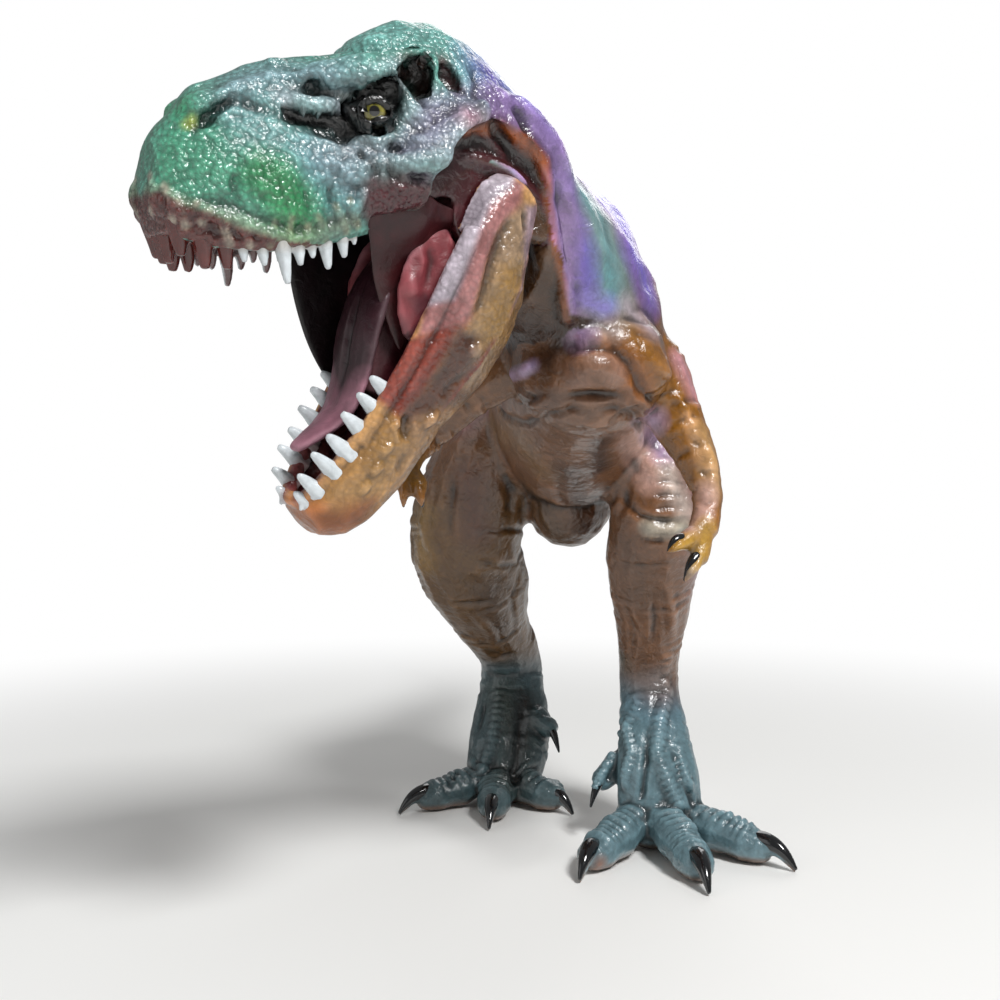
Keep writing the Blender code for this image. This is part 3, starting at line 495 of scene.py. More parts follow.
def paintedSkin(name, pebblePitch, pebbleDepth, wrinkleDepth, roughness, gloss=0.6):
    # airbrushed acrylic on soft PVC under a gloss varnish: the pebbled skin makes it sparkle
    material, tree, shader = plainMaterial(name, "#808080", roughness, gloss)
    shader.inputs["Coat Roughness"].default_value = 0.12
    shader.inputs["IOR"].default_value = 1.5
    place = addNode(tree, "ShaderNodeTexCoord")
    sprayed = addNode(tree, "ShaderNodeAttribute", attribute_name="paint")
    pebble = addNode(tree, "ShaderNodeAttribute", attribute_name="pebble")
    cells = addNode(tree, "ShaderNodeTexVoronoi", {"Vector": place.outputs["Object"]},
                    Scale=1 / (pebblePitch * mm), feature="SMOOTH_F1", Smoothness=0.35)
    folds = addNode(tree, "ShaderNodeTexNoise", {"Vector": place.outputs["Object"]},
                    Scale=1 / (2.6 * mm), Detail=4.0, Roughness=0.6, Distortion=0.6)
    # painted shade between the pebbles and painted highlight on their tops
    shade = remap(tree, cells.outputs["Distance"], 0.15, 0.75, 1.18, 0.62)  # darker between pebbles
    blotch = remap(tree, folds.outputs["Fac"], 0.3, 0.7, 0.82, 1.16)
    grain = {"Factor": pebble.outputs["Fac"], "B": shade.outputs["Result"]}
    shadeOver = addNode(tree, "ShaderNodeMix", grain, A=1.0)
    both = multiplied(tree, shadeOver.outputs["Result"], blotch.outputs["Result"])
    colour = addNode(tree, "ShaderNodeVectorMath",
                     {"Vector": sprayed.outputs["Color"], "Scale": both},
                     operation="SCALE")
    depth = multiplied(tree, cells.outputs["Distance"], pebble.outputs["Fac"])
    pebbles = addNode(tree, "ShaderNodeBump", {"Height": depth}, invert=True, Strength=1.0,
                      Distance=pebbleDepth * mm)
    relief = {"Height": folds.outputs["Fac"], "Normal": pebbles.outputs["Normal"]}
    wrinkles = addNode(tree, "ShaderNodeBump", relief, Strength=1.0, Distance=wrinkleDepth * mm)
    link(tree, shader,
         {"Base Color": colour.outputs["Vector"], "Normal": wrinkles.outputs["Normal"],
                        "Coat Normal": wrinkles.outputs["Normal"]})
    return material


def writeLayer(mesh, name, kind, field, values):
    layer = mesh.attributes.new(name, kind, "POINT")
    layer.data.foreach_set(field, values.astype(np.float32).ravel())


def writePaint(mesh, paint, pebble):
    writeLayer(mesh, "paint", "FLOAT_COLOR", "color", np.insert(paint.clip(0, 1), 3, 1, axis=1))
    writeLayer(mesh, "pebble", "FLOAT", "value", pebble)


def finishShape(shape, material):
    # writes the carved points and the sprayed paint back to the mesh
    mesh = shape["item"].data
    writePoints(shape)
    writePaint(mesh, shape["paint"], shape["pebble"])
    mesh.materials.clear()
    mesh.materials.append(material)
    mesh.shade_smooth()


# each with the pitch and depth of its pebbles, the depth of its wrinkles, roughness and varnish
vinyl = {
    # deep scales that glint one by one
    "head": paintedSkin("paintedPvcHead", 0.9, 0.36, 0.60, 0.30),
    # leathery skin with a broad soft shine
    "body": paintedSkin("paintedPvcBody", 1.1, 0.22, 0.45, 0.34),
    # hardly varnished, so that the mouth stays dark and wet only at its folds
    "mouth": paintedSkin("paintedPvcMouth", 1.6, 0.12, 0.25, 0.42, 0.08),
    # finer scales than the head's, under the same gloss
    "jaw": paintedSkin("paintedPvcJaw", 1.0, 0.30, 0.40, 0.34),
    # nearly smooth, with small sharp highlights
    "tooth": paintedSkin("paintedPvcTeeth", 1.2, 0.10, 0.12, 0.20),
}
print("materials ready")


# the skin: body, limbs, head and tail are carved and painted as one, then parted at the seams

skinNodes = ["torso", "head", "left_leg", "right_leg", "left_foot", "right_foot", "left_arm",
             "right_arm", "tail_base", "tail_tip"]
upperArch = [(0, -57.2, -4.2), (5.4, -57.0, -4.2), (7.5, -52.8, -5.7), (9.3, -48.0, -6.5),
             (11.3, -40.8, -6.7), (11.3, -33.0, -5.3), (12.4, -25.8, -3.3), (14.4, -16.8, -1.0)]
lowerArch = [(0, -61.6, -2.2), (3.5, -61.3, -2.2), (5.9, -56.8, -2.5), (7.8, -47.7, -2.8),
             (9.1, -36.8, -2.6), (11.6, -25.2, -1.1), (12.9, -14.8, 1.3)]
skinSizes = {
    "voxel": 0.55, "closing": 0.25, "smooth": 6,
    "rim": [(-12.5, -123.0, 151.0), (-8.4, -119.6, 151.6), (-4.5, -116.6, 150.4),
            (-1.3, -112.6, 148.4), (2.0, -108.6, 144.6), (4.6, -103.6, 139.0),
            (6.6, -99.6, 132.8), (8.6, -95.6, 127.6), (12.4, -92.0, 126.4), (17.0, -86.0, 127.8)],
    "rimRadii": [0.8, 1.3, 1.7, 1.9, 1.9, 1.8, 1.7, 1.7, 1.6, 1.0],
    "toothRoll": 1.5,
    "edgeOut": 11.0, "edgeReach": 16.9,
    "edgeRadii": [1.0, 2.2, 2.9, 3.0, 3.0, 3.0, 2.8, 2.4, 2.1, 1.8, 1.4, 0.8],
    "outerOut": 10.6, "outerReach": 20.6, "outerRadii": [1.4, 2.6, 3.2, 3.2, 3.2, 2.8, 1.6],
    "wall": (11.1, -10.5, 6.0), "wallRadii": (0.7, 6.6, 3.9),  # closes the view behind the cheek
    "brow": [(8, -34, 22.0), (11.2, -27, 23.0), (12.6, -20, 23.8), (12.4, -14, 25.6)],
    "browRadii": [0.6, 1.5, 1.9, 1.2],
}
lidSizes = {"lifts": (44, -34), "start": -72, "step": 24, "gap": 0.15,
            "radii": [0.4, 0.55, 0.62, 0.65, 0.62, 0.55, 0.4]}
edgeDown = [(11.4, 16.9, 0.6), (11.4, 18.4, -5.2), (10.8, 19.8, -10.4), (9.6, 20.8, -15.0),
            (8.6, 22.2, -19.4), (8.2, 25.0, -22.4)]


def neckEdge(radius):
    # an arc about the hinge, from the cheek over the jaw's end to the back of the recess
    turns = [math.radians(turn) for turn in range(156, -29, -23)]
    return [(radius * math.cos(turn), radius * math.sin(turn)) for turn in turns]


def makeLid(side, lift):
    # an eyelid, as an arc over the eyeball
    low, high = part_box("left_eye" if side > 0 else "right_eye")
    centre = (low + high) / 2 / mm
    radius = (high - low).z / 2 / mm + lidSizes["gap"]
    out = Vector((side * 0.93, -0.36, 0.05)).normalized()
    front = Vector((0, -1, 0)) - out * out.dot(Vector((0, -1, 0)))
    front.normalize()
    up = out.cross(front)
    if up.z < 0:
        up = -up
    arc = []
    for step in range(len(lidSizes["radii"])):
        turn = math.radians(lidSizes["start"] + lidSizes["step"] * step)
        rise = math.radians(lift) * math.cos(turn * 1.2)
        way = (out * math.cos(turn) + front * math.sin(turn)) * math.cos(rise) + up * math.sin(rise)
        arc.append(centre + headTurn @ (way * radius))
    return cord(arc, lidSizes["radii"])


def makeSkin():
    facts = skinSizes
    skin = nodeCopy("skin", *skinNodes)
    extras = [cord(facts["rim"], facts["rimRadii"])]
    for side in (-1, 1):
        extras += [makeLid(side, lift) for lift in lidSizes["lifts"]]
        edge = [(facts["edgeOut"], *spot) for spot in neckEdge(facts["edgeReach"])[:6]] + edgeDown
        extras.append(cord([headPlace(side * x, y, z) for x, y, z in edge], facts["edgeRadii"]))
        outer = neckEdge(facts["outerReach"])[1:8]
        extras.append(cord([headPlace(side * facts["outerOut"], *spot) for spot in outer],
                           facts["outerRadii"]))
        x, y, z = facts["wall"]
        extras.append(ball(headPlace(side * x, y, z), facts["wallRadii"], headTurn))
    extras.append(cord(mirrorHead(facts["rim"][:7]), facts["rimRadii"][:7]))
    roll = wholeArch(upperArch[:-1])
    extras.append(cord([headPlace(*point) for point in roll], [facts["toothRoll"]] * len(roll)))
    for side in (-1, 1):
        extras.append(cord([headPlace(side * x, y, z) for x, y, z in facts["brow"]],
                           facts["browRadii"]))
    skin = joined("skin", [skin] + extras)
    applied(skin, "DISPLACE", strength=facts["closing"] * mm, mid_level=0.0)
    remeshed(skin, facts["voxel"], 0)
    biggestShell(skin)
    applied(skin, "SMOOTH", factor=0.5, iterations=facts["smooth"])
    applied(skin, "DISPLACE", strength=-facts["closing"] * mm, mid_level=0.0)
    return skin


def nearestNodes(points, nodes):
    # which CAD node's surface is nearest to each point
    corners, faces, owners, start = [], [], [], 0
    for index, node in enumerate(nodes):
        mesh = frame["nodes"][node].data
        corners += [vertex.co[:] for vertex in mesh.vertices]
        faces += [[start + corner for corner in face.vertices] for face in mesh.polygons]
        owners += [index] * len(mesh.polygons)
        start += len(mesh.vertices)
    tree = BVHTree.FromPolygons(corners, faces)
    return np.array([owners[tree.find_nearest(Vector(point) * mm)[2]] for point in points])


def closeBack(mesh, depth):
    # turns the open edge of a parted skin inwards and closes it, so that the piece is solid
    body = bmesh.new()
    body.from_mesh(mesh)
    layer = body.verts.layers.float_vector["skinNormal"]
    edge = [line for line in body.edges if line.is_boundary]
    for made in bmesh.ops.extrude_edge_only(body, edges=edge)["geom"]:
        if isinstance(made, bmesh.types.BMVert):
            made.co -= Vector(made[layer]) * depth * mm
    bmesh.ops.holes_fill(body, edges=[line for line in body.edges if line.is_boundary], sides=0)
    bmesh.ops.triangulate(body, faces=[face for face in body.faces if len(face.verts) > 4])
    body.to_mesh(mesh)
    body.free()


def partSkin(shape, owner, nodes):
    # one closed piece for each CAD node, with the whole skin's shading kept across the seams
    faces = facesOf(shape["item"].data)
    faceOwner = np.sort(owner[faces], axis=1)[:, 1]
    for index, node in enumerate(nodes):
        used, where = np.unique(faces[faceOwner == index], return_inverse=True)
        mesh = bpy.data.meshes.new(node + "Skin")
        mesh.from_pydata(shape["points"][used] * mm, [], where.reshape(-1, 4).tolist())
        writePaint(mesh, shape["paint"][used], shape["pebble"][used])
        writeLayer(mesh, "skinNormal", "FLOAT_VECTOR", "vector", shape["normals"][used])
        closeBack(mesh, 0.8)
        mesh.shade_smooth()
        normals = np.empty(len(mesh.vertices) * 3, np.float32)
        mesh.attributes["skinNormal"].data.foreach_get("vector", normals)
        mesh.normals_split_custom_set_from_vertices(normals.reshape(-1, 3))
        mesh.attributes.remove(mesh.attributes["skinNormal"])
        mesh.materials.append(vinyl["head" if node == "head" else "body"])
        piece = newObject(node + "Skin", mesh)
        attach(piece, "figure")
        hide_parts(node)
    bpy.data.objects.remove(shape["item"])


skinItem = makeSkin()
print("skin made", len(skinItem.data.vertices))
skin = openShape(skinItem, "#6B4A3A")
owner = nearestNodes(skin["points"], skinNodes)
headLocal = localTo(headTurn, skin["points"])
headNormal = skin["normals"] @ np.array(headTurn)
print("skin assigned")


def isNode(*names):
    return np.isin(owner, [skinNodes.index(name) for name in names])


def trace(marks):
    return fromPhoto(skin["tree"], marks)


# what is carved: radius, height and the marks along the stroke, each a place on the photograph
headStrokes = [
    (8.0, 0.8, [(236, 160), (275, 178), (305, 192)]),
    (1.6, -1.7, [(232, 100), (215, 110), (203, 120), (193, 128)]),
    (2.4, 0.9, [(176, 114), (196, 100), (214, 92)]),
    (1.6, 0.5, [(206, 128), (226, 112), (246, 106)]),
    (1.9, -0.8, [(232, 99), (250, 104), (266, 108), (284, 115)]),
    (2.8, -1.5, [(286, 116), (306, 121), (328, 128), (345, 133), (362, 129)]),
    (3.4, -1.8, [(345, 110), (358, 104), (372, 92), (390, 88)]),
    (2.0, -1.0, [(362, 128), (378, 128), (390, 124), (397, 108), (395, 90)]),
    (1.7, 1.3, [(284, 97), (296, 100), (310, 103), (325, 103), (342, 107)]),
    (0.9, 0.9, [(302, 104), (305, 113)]), (0.9, 0.9, [(315, 106), (318, 114)]),
    (0.9, 0.7, [(328, 107), (334, 112)]), (2.4, -1.3, [(303, 84), (312, 88), (323, 91)]),
    (1.8, 1.1, [(340, 98), (354, 95), (365, 86), (376, 76), (394, 70)]),
    (3.4, -2.6, [(412, 62), (414, 74), (419, 88)]),
    (1.4, 1.0, [(397, 70), (402, 92), (411, 108), (420, 122)]),
    (1.6, 1.1, [(430, 50), (433, 72), (438, 96)]), (2.6, -1.8, [(443, 60), (450, 74), (457, 88)]),
    (1.8, -1.5, [(391, 143), (399, 151)]),
    (2.4, 1.0, [(396, 118), (404, 111), (418, 115), (426, 128)]),
    (1.3, 0.9, [(376, 128), (386, 131), (396, 127)]),
    (2.0, 0.9, [(350, 138), (364, 135), (380, 141), (400, 138)]),
    (1.8, 0.8, [(408, 136), (420, 142), (430, 138)]),
    (2.8, 1.0, [(398, 158), (420, 165), (445, 158), (466, 148)]),
    (1.2, -1.0, [(371, 160), (377, 172), (372, 184)]),
    (1.2, -1.0, [(387, 165), (392, 175), (402, 180)]),
    (1.2, -1.0, [(408, 171), (418, 178), (428, 171)]), (1.1, -0.8, [(360, 148), (364, 160)]),
    (1.5, 1.0, [(368, 184), (363, 196), (358, 208), (352, 217)]),
    (1.4, 0.7, [(380, 190), (398, 187), (416, 188), (432, 184)]),
    (1.5, 0.8,
     [(158, 200), (190, 209), (225, 216), (262, 231), (292, 240), (322, 234), (346, 226),
      (364, 214)]),
    (1.6, -0.6, [(170, 190), (200, 199), (230, 206), (262, 218), (292, 228), (320, 224)]),
    (1.0, -0.5, [(238, 168), (232, 182), (236, 196)]),
    (1.0, -0.5, [(262, 176), (258, 192), (262, 206)]),
    (1.0, -0.5, [(284, 184), (282, 200), (286, 214)]),
    (1.0, -0.5, [(306, 186), (306, 202), (310, 216)]),
    (1.0, -0.5, [(328, 180), (330, 196), (332, 210)]),
    (1.0, -0.4, [(214, 160), (208, 176), (210, 190)]),
    (1.2, 0.6, [(236, 150), (250, 160), (270, 164)]),
    (1.2, 0.6, [(280, 150), (296, 160), (316, 166)]),
    (1.2, 0.6, [(250, 182), (262, 190), (280, 192)]),
    (1.4, 0.6, [(330, 158), (342, 168), (350, 182)]),
    (2.0, 0.8, [(262, 64), (275, 58), (288, 62)]), (2.0, -0.5, [(330, 66), (346, 62)]),
    (2.6, 0.8, [(356, 52), (372, 42), (392, 36)]), (2.2, 0.6, [(440, 34), (456, 46), (468, 60)]),
    (1.6, -0.7, [(470, 64), (478, 84), (474, 110)]),
    (1.6, 0.7, [(466, 96), (462, 120), (470, 140)]),
]
neckStrokes = [(3.0, -0.9, [(498, 78), (520, 118), (532, 160)]),
               (2.4, 0.7, [(506, 96), (516, 132), (528, 170)]),
               (1.8, -0.7, [(488, 110), (498, 132), (512, 152)]),
               (1.4, 0.6, [(478, 128), (492, 142), (508, 160)]),
               (1.4, -0.6, [(540, 170), (552, 200), (560, 240), (566, 280)]),
               (1.5, 0.6, [(534, 150), (548, 180), (558, 215)]),
               (3.2, 1.2, [(532, 222), (540, 246), (546, 274)]),
               (1.2, -0.8, [(536, 232), (546, 238)]), (1.2, -0.8, [(538, 256), (550, 260)]),
               (2.6, -1.2, [(556, 150), (560, 190), (566, 240), (572, 300)]),
               (4.0, 1.0, [(578, 190), (596, 230), (606, 280)]),
               (3.0, -1.5, [(558, 172), (565, 200), (571, 240), (574, 286)])]
torsoStrokes = [(5.0, 1.8, [(566, 388), (582, 374), (602, 366), (616, 374)]),
                (2.0, -1.0, [(556, 398), (584, 394), (616, 392)]),
                (3.0, 1.0, [(574, 346), (590, 338), (608, 342)]),
                (1.6, -0.9, [(572, 358), (590, 352), (612, 354)]),
                (1.8, -1.2, [(500, 412), (526, 424), (548, 416), (572, 408), (598, 412)]),
                (1.6, 0.9, [(512, 398), (538, 404), (556, 396)]),
                (1.4, -0.8, [(520, 386), (534, 398), (530, 412)]),
                (2.0, -1.0, [(472, 402), (498, 408), (516, 424)]),
                (1.6, 0.7, [(560, 420), (590, 424), (616, 414)]),
                (2.0, 0.9, [(510, 376), (522, 372), (534, 364)])]
limbStrokes = [
    (2.2, -1.2, [(606, 344), (626, 362), (640, 388), (652, 410)]),
    (5.0, 1.0, [(634, 336), (656, 362), (670, 392)]),
    (1.4, -0.6, [(620, 330), (640, 334), (660, 344)]),
    (1.4, -0.6, [(616, 318), (636, 320), (654, 328)]),
    (1.4, 0.6, [(664, 380), (680, 400), (694, 426)]),
    (1.4, -0.7, [(690, 440), (704, 446), (716, 444)]),
    (1.2, -0.6, [(694, 470), (706, 474), (718, 472)]),
    (1.2, -0.5, [(694, 500), (706, 503), (717, 500)]),
    (2.2, 0.8, [(700, 436), (712, 460), (714, 490)]),
    (4.0, 1.2, [(644, 396), (634, 430), (648, 460), (668, 486)]),
    (1.6, -1.2, [(622, 500), (640, 516), (664, 521), (688, 519)]),
    (1.6, 0.9, [(640, 527), (664, 529), (686, 527)]),
    (1.4, -0.7, [(636, 538), (660, 541), (684, 538)]),
    (2.6, -1.0, [(616, 470), (624, 500), (618, 524)]),
    (1.4, -0.6, [(614, 560), (640, 566), (672, 562)]),
    (2.2, 1.0, [(668, 586), (672, 612), (672, 640)]),
    (1.6, -0.7, [(652, 590), (654, 620), (652, 650)]),
    (2.0, 0.7, [(690, 570), (696, 600), (688, 632)]),
    (1.8, -0.6, [(624, 600), (634, 630), (630, 660)]),
    (3.0, -1.0, [(500, 470), (512, 500), (508, 520)]),
    (2.6, 0.8, [(436, 470), (424, 520), (430, 560)]),
    (2.4, -0.8, [(456, 460), (450, 510), (452, 560)]),
    (2.0, -0.8, [(440, 600), (466, 604), (500, 598)]),
    (2.4, 0.8, [(470, 610), (490, 630), (500, 654)]),
    (1.8, -0.7, [(520, 560), (512, 600), (516, 640)]),
    (1.6, -0.6, [(476, 560), (500, 566), (524, 560)]),
    (1.6, -0.7, [(486, 650), (506, 656), (524, 650)]),
    (1.8, 0.7, [(540, 500), (546, 520), (560, 538)]),
    (2.4, -0.8, [(560, 470), (560, 500), (572, 530)]),
]
ridgeStrokes = [(2.4, 1.3,
                 [(668, 652), (668, 690), (660, 720), (656, 752), (667, 780), (678, 803),
                  (690, 824)]),
                (2.0, 1.2,
                 [(640, 700), (626, 726), (631, 752), (624, 780), (617, 804), (604, 824)]),
                (1.9, 1.0, [(622, 716), (612, 745), (604, 770), (594, 789), (587, 806)]),
                (2.2, 1.2,
                 [(676, 760), (688, 782), (703, 796), (720, 808), (738, 822), (754, 828),
                  (766, 830)]),
                (2.3, 1.2, [(478, 690), (466, 722), (454, 748), (437, 764), (420, 792)]),
                (2.2, 1.2, [(500, 688), (497, 714), (492, 744), (482, 770), (480, 790)]),
                (2.2, 1.0, [(546, 690), (556, 716), (556, 740)]),
                (2.0, 0.8, [(548, 752), (556, 780), (564, 800)])]
gapStrokes = [(1.6, -1.3, [(648, 730), (646, 760), (642, 792), (636, 820)]),
              (1.4, -1.2, [(616, 760), (606, 786), (598, 806)]),
              (1.6, -1.0, [(668, 742), (680, 770), (692, 800), (702, 826)]),
              (1.6, -1.1, [(470, 740), (456, 770), (446, 792)]),
              (2.6, -1.6, [(520, 690), (520, 730), (516, 770), (512, 790)]),
              (1.4, -0.8, [(486, 700), (476, 736), (466, 766)]),
              (1.2, -0.8, [(690, 832), (700, 836)]), (1.2, -0.7, [(752, 816), (760, 838)])]
browStrokes = [(1.5, 1.2, [(284, 100), (296, 103), (310, 106), (325, 107), (341, 107)]),
               (1.0, 1.1, [(300, 106), (304, 115)]), (1.0, 1.1, [(314, 107), (317, 117)]),
               (1.0, 0.8, [(330, 108), (334, 113)]),
               (1.3, 1.0, [(341, 97), (355, 96), (366, 86), (376, 77), (394, 72)]),
               (0.9, 0.7, [(380, 131), (392, 126)])]
gumRidges = [[(150, 176), (156, 190), (151, 212)], [(164, 186), (174, 202), (173, 220)],
             [(178, 202), (181, 211), (186, 226)], [(197, 204), (204, 209), (202, 222)],
             [(206, 210), (222, 220), (230, 244)], [(236, 224), (246, 232), (250, 246)]]
toothRidges = [[(292, 218), (290, 232), (288, 248)], [(308, 226), (306, 238), (304, 246)],
               [(318, 216), (324, 228), (325, 240)], [(336, 206), (342, 218), (346, 232)],
               [(350, 200), (354, 212), (358, 226)], [(276, 222), (272, 236), (270, 246)]]
backLine = [(13, -74, 165), (13, -56, 158), (13, -38, 148), (13, -20, 141), (13, -2, 136),
            (13.5, 16, 131), (15.5, 36, 124), (19, 59, 120), (24, 85, 117), (25, 115, 118),
            (18, 145, 123)]
spine = [(-10.6, -107, 155.7), (-2.1, -95.8, 147.5), (7.9, -84.6, 140), (13, -75.7, 134.1),
         (13, -57.7, 126), (13, -37.9, 117.9), (13, -19.9, 113.8), (13, -3.7, 113.3),
         (13, 14.3, 112.1), (14.8, 34.6, 108.7), (19, 58.9, 107.3), (24.4, 84.5, 108.7),
         (25, 115.6, 113.8), (17.8, 145.3, 121.6)]
outlines = {
    "mask": [(282, 106), (304, 110), (320, 112), (340, 110), (341, 101), (355, 99), (357, 94),
             (367, 84), (387, 74), (397, 77), (401, 93), (398, 108), (392, 120), (392, 132),
             (378, 135), (367, 132), (355, 133), (346, 141), (338, 141), (334, 133), (320, 128),
             (291, 123), (284, 119)],
    "fenestra": [(398, 68), (411, 57), (429, 52), (431, 68), (429, 95), (418, 98), (405, 84),
                 (399, 75)],
    "rearFenestra": [(441, 61), (451, 70), (465, 93), (449, 88), (440, 77)],
    "hollow": [(372, 222), (392, 190), (429, 202), (440, 190), (455, 180), (468, 170), (480, 159),
               (497, 166), (510, 172), (524, 186), (534, 198), (546, 218), (557, 244), (563, 270),
               (565, 292), (570, 314), (592, 320), (580, 332), (570, 346), (556, 364), (536, 380),
               (500, 400), (430, 400), (390, 320)],
    "cheekUnder": [(372, 184), (400, 180), (432, 186), (431, 204), (404, 222), (372, 224),
                   (366, 204)],
    "greenPatch": [(255, 150), (285, 160), (305, 190), (312, 225), (300, 240), (280, 228),
                   (262, 200), (246, 176)],
    "gumCurtain": [(142, 196), (160, 190), (186, 206), (214, 214), (236, 226), (262, 236),
                   (284, 246), (288, 262), (140, 262)],
}
toeLines = [[(27.9, -37, 13), (21.9, -46, 10), (17.4, -51.5, 8)],
            [(37, -40, 13), (39.1, -50.8, 10), (40.2, -57.5, 8)],
            [(45.5, -36, 13), (51.9, -42, 10), (56.9, -46.4, 8)],
            [(-12.6, 6, 12), (-19.4, 2, 10), (-25.6, -1.2, 8)],
            [(-5.6, 2, 12), (-7, -2.8, 10), (-7.8, -10, 8)],
            [(0.6, 5.2, 12), (3.4, 2, 10), (7.6, -1.2, 8)]]
limbLines = {
    "leftLeg": [(31.9, -17.8, 119.6), (33.5, -25.6, 105.8), (33.9, -34.6, 95.4),
                (33.9, -39.6, 86.2), (33.5, -34.6, 73.6), (34.6, -25.6, 59.8), (35.0, -18.6, 49.4)],
    "rightLeg": [(-5.9, -12.6, 116.2), (-10.1, -14.8, 102.4), (-14.1, -13.6, 88.6),
                 (-15.6, -10.6, 75.9), (-11.4, -1.6, 64.4), (-8.6, 9.2, 54.0), (-3.9, 19.4, 44.8)],
    "leftShin": [(35.0, -15.6, 42.6), (35.2, -18.0, 34.5), (35.4, -23.8, 26.4),
                 (35.7, -29.8, 17.2)],
    "rightShin": [(-2.4, 23.4, 38.0), (-2.4, 21.8, 31.0), (-2.4, 18.2, 23.0), (-3.5, 13.4, 15.0)],
    "leftArm": [(27.5, -75.7, 120.2), (31.5, -77.7, 110.2), (36.5, -80.7, 99.2),
                (38.6, -83.7, 90.2)],
    "rightArm": [(-5, -74.2, 118.7), (-14, -72.2, 113.2), (-22, -72.7, 105.2), (-25, -79.2, 101.2)],
}
limbFolds = {"leftLeg": (3.4, 0.32), "rightLeg": (3.4, 0.32), "leftShin": (2.2, 0.25),
             "rightShin": (2.2, 0.25), "leftArm": (2.6, 0.4), "rightArm": (2.6, 0.4)}
# line, reach, pitch, depth, wander and seed of the folds that follow each other
skinRipples = [
    (backLine, 17, 3.4, 0.45, 1.2, 11),
    ([(13, -66, 100), (13, -46, 92), (13, -30, 84), (13, -14, 80), (13, 6, 88), (14, 26, 96)],
     18, 4.6, 0.15, 2.2, 12),
    ([(36, -18, 120), (44, -30, 104), (46, -38, 90), (45, -32, 76)], 13, 4.2, 0.4, 1.6, 13),
    ([(-10, -10, 118), (-24, -14, 100), (-28, -12, 80), (-22, -2, 66)], 13, 4.2, 0.4, 1.6, 13),
]
carvedOutlines = {"mask": 1.3, "fenestra": 2.2, "rearFenestra": 1.2}
shinScutes = {"heights": (463, 476, 489, 502), "strokes": [(0, 1.4, 0.45), (7, 1.0, -0.35)]}


def softenSeams(width, times):
    # melts the creases where the limbs, the neck and the tail meet the body
    trunk = isNode("torso")
    ends = skin["edges"]
    crossing = (trunk[ends[:, 0]] != trunk[ends[:, 1]])
    cover = np.zeros((len(trunk), 1))
    cover[ends[crossing].ravel()] = 1
    cover = np.clip(relaxed(cover, ends, width) * 6, 0, 1)
    cover *= (np.hypot(headLocal[:, 1], headLocal[:, 2]) > 24)[:, None]
    skin["points"] += (relaxed(skin["points"], ends, times, 0.65) - skin["points"]) * cover
    writePoints(skin)


def foldLimb(name):
    # short folds across a limb, at angles that a fixed seed chooses
    pitch, depth = limbFolds[name]
    chance = np.random.default_rng(len(name) * 7 + 3)
    for start, end in zip(limbLines[name], limbLines[name][1:]):
        way = Vector(end) - Vector(start)
        for step in np.arange(0, way.length, pitch):
            side = way.normalized().orthogonal()
            side = Matrix.Rotation(chance.uniform(0, 2 * math.pi), 3, way) @ side
            side = (side + way.normalized() * chance.uniform(-0.3, 0.3)).normalized()
            centre = Vector(start) + way * (step / way.length)
            line = aroundLimb(skin["tree"], centre, side, chance.uniform(70, 130), way)
            if len(line) > 3 and np.linalg.norm(line - np.array(centre), axis=1).max() < 24:
                carve(skin, line, 1.3, -depth, 0.35)
                carve(skin, line + np.array(way.normalized()) * pitch * 0.5, 1.4, depth * 0.6, 0.35)


def carveSkin():
    softenSeams(36, 100)
    for strokes, mirror in ((headStrokes, mirrorHead), (neckStrokes, mirrorHead),
                            (torsoStrokes, mirrorBody), (limbStrokes, noMirror)):
        carveAll(skin, strokes, mirror)
    writePoints(skin)
    for name, depth in carvedOutlines.items():
        skin["points"] -= skin["normals"] * (outlined(skin, outlines[name], 2.5) * depth)[:, None]
    writePoints(skin)
    carveAll(skin, browStrokes, mirrorHead)
    carveAll(skin, [(1.2, 0.8, marks) for marks in gumRidges], mirrorHead)
    carveAll(skin, [(1.1, 0.6, marks) for marks in toothRidges], mirrorHead)
    for name in limbFolds:
        foldLimb(name)
    carveAll(skin, ridgeStrokes + gapStrokes, noMirror)
    writePoints(skin)
    for radius, _, marks in ridgeStrokes:
        rippled(skin, trace(marks), radius * 1.1, 2.1, 0.75, 0.1)
    for line in toeLines:
        rippled(skin, line, 5.5, 2.3, 1.0, 0.15)
    for height in shinScutes["heights"]:
        for drop, radius, rise in shinScutes["strokes"]:
            v = height + drop
            carve(skin, trace([(650, v), (666, v - 2), (686, v)]), radius, rise)
    for ripple in skinRipples:
        rippled(skin, *ripple)
    rough = isNode("head") * 0.04 + 0.11
    lumps = softNoise(skin["points"], 2.4, 21) * rough + softNoise(skin["points"], 5.5, 22) * 0.2
    skin["points"] += skin["normals"] * lumps[:, None]
    skin["points"][:, 2] = np.maximum(skin["points"][:, 2], floorGap)
    writePoints(skin)


def pebbleSkin():
    # how strongly the pebbled grain shows, from 0 to 1
    pebble = np.full(len(skin["points"]), 0.28)
    pebble[isNode("head")] = 1.0
    pebble[isNode("left_foot", "right_foot")] = 0.35
    back, up = headLocal[:, 1], headLocal[:, 2]
    pebble[(np.hypot(back, up) < 16) * isNode("head")] = 0.2
    neck = isNode("head") * smoothStep(back, -2, 6) * smoothStep(-up, -26, -20)
    pebble -= pebble * neck * 0.75
    skin["pebble"] = pebble


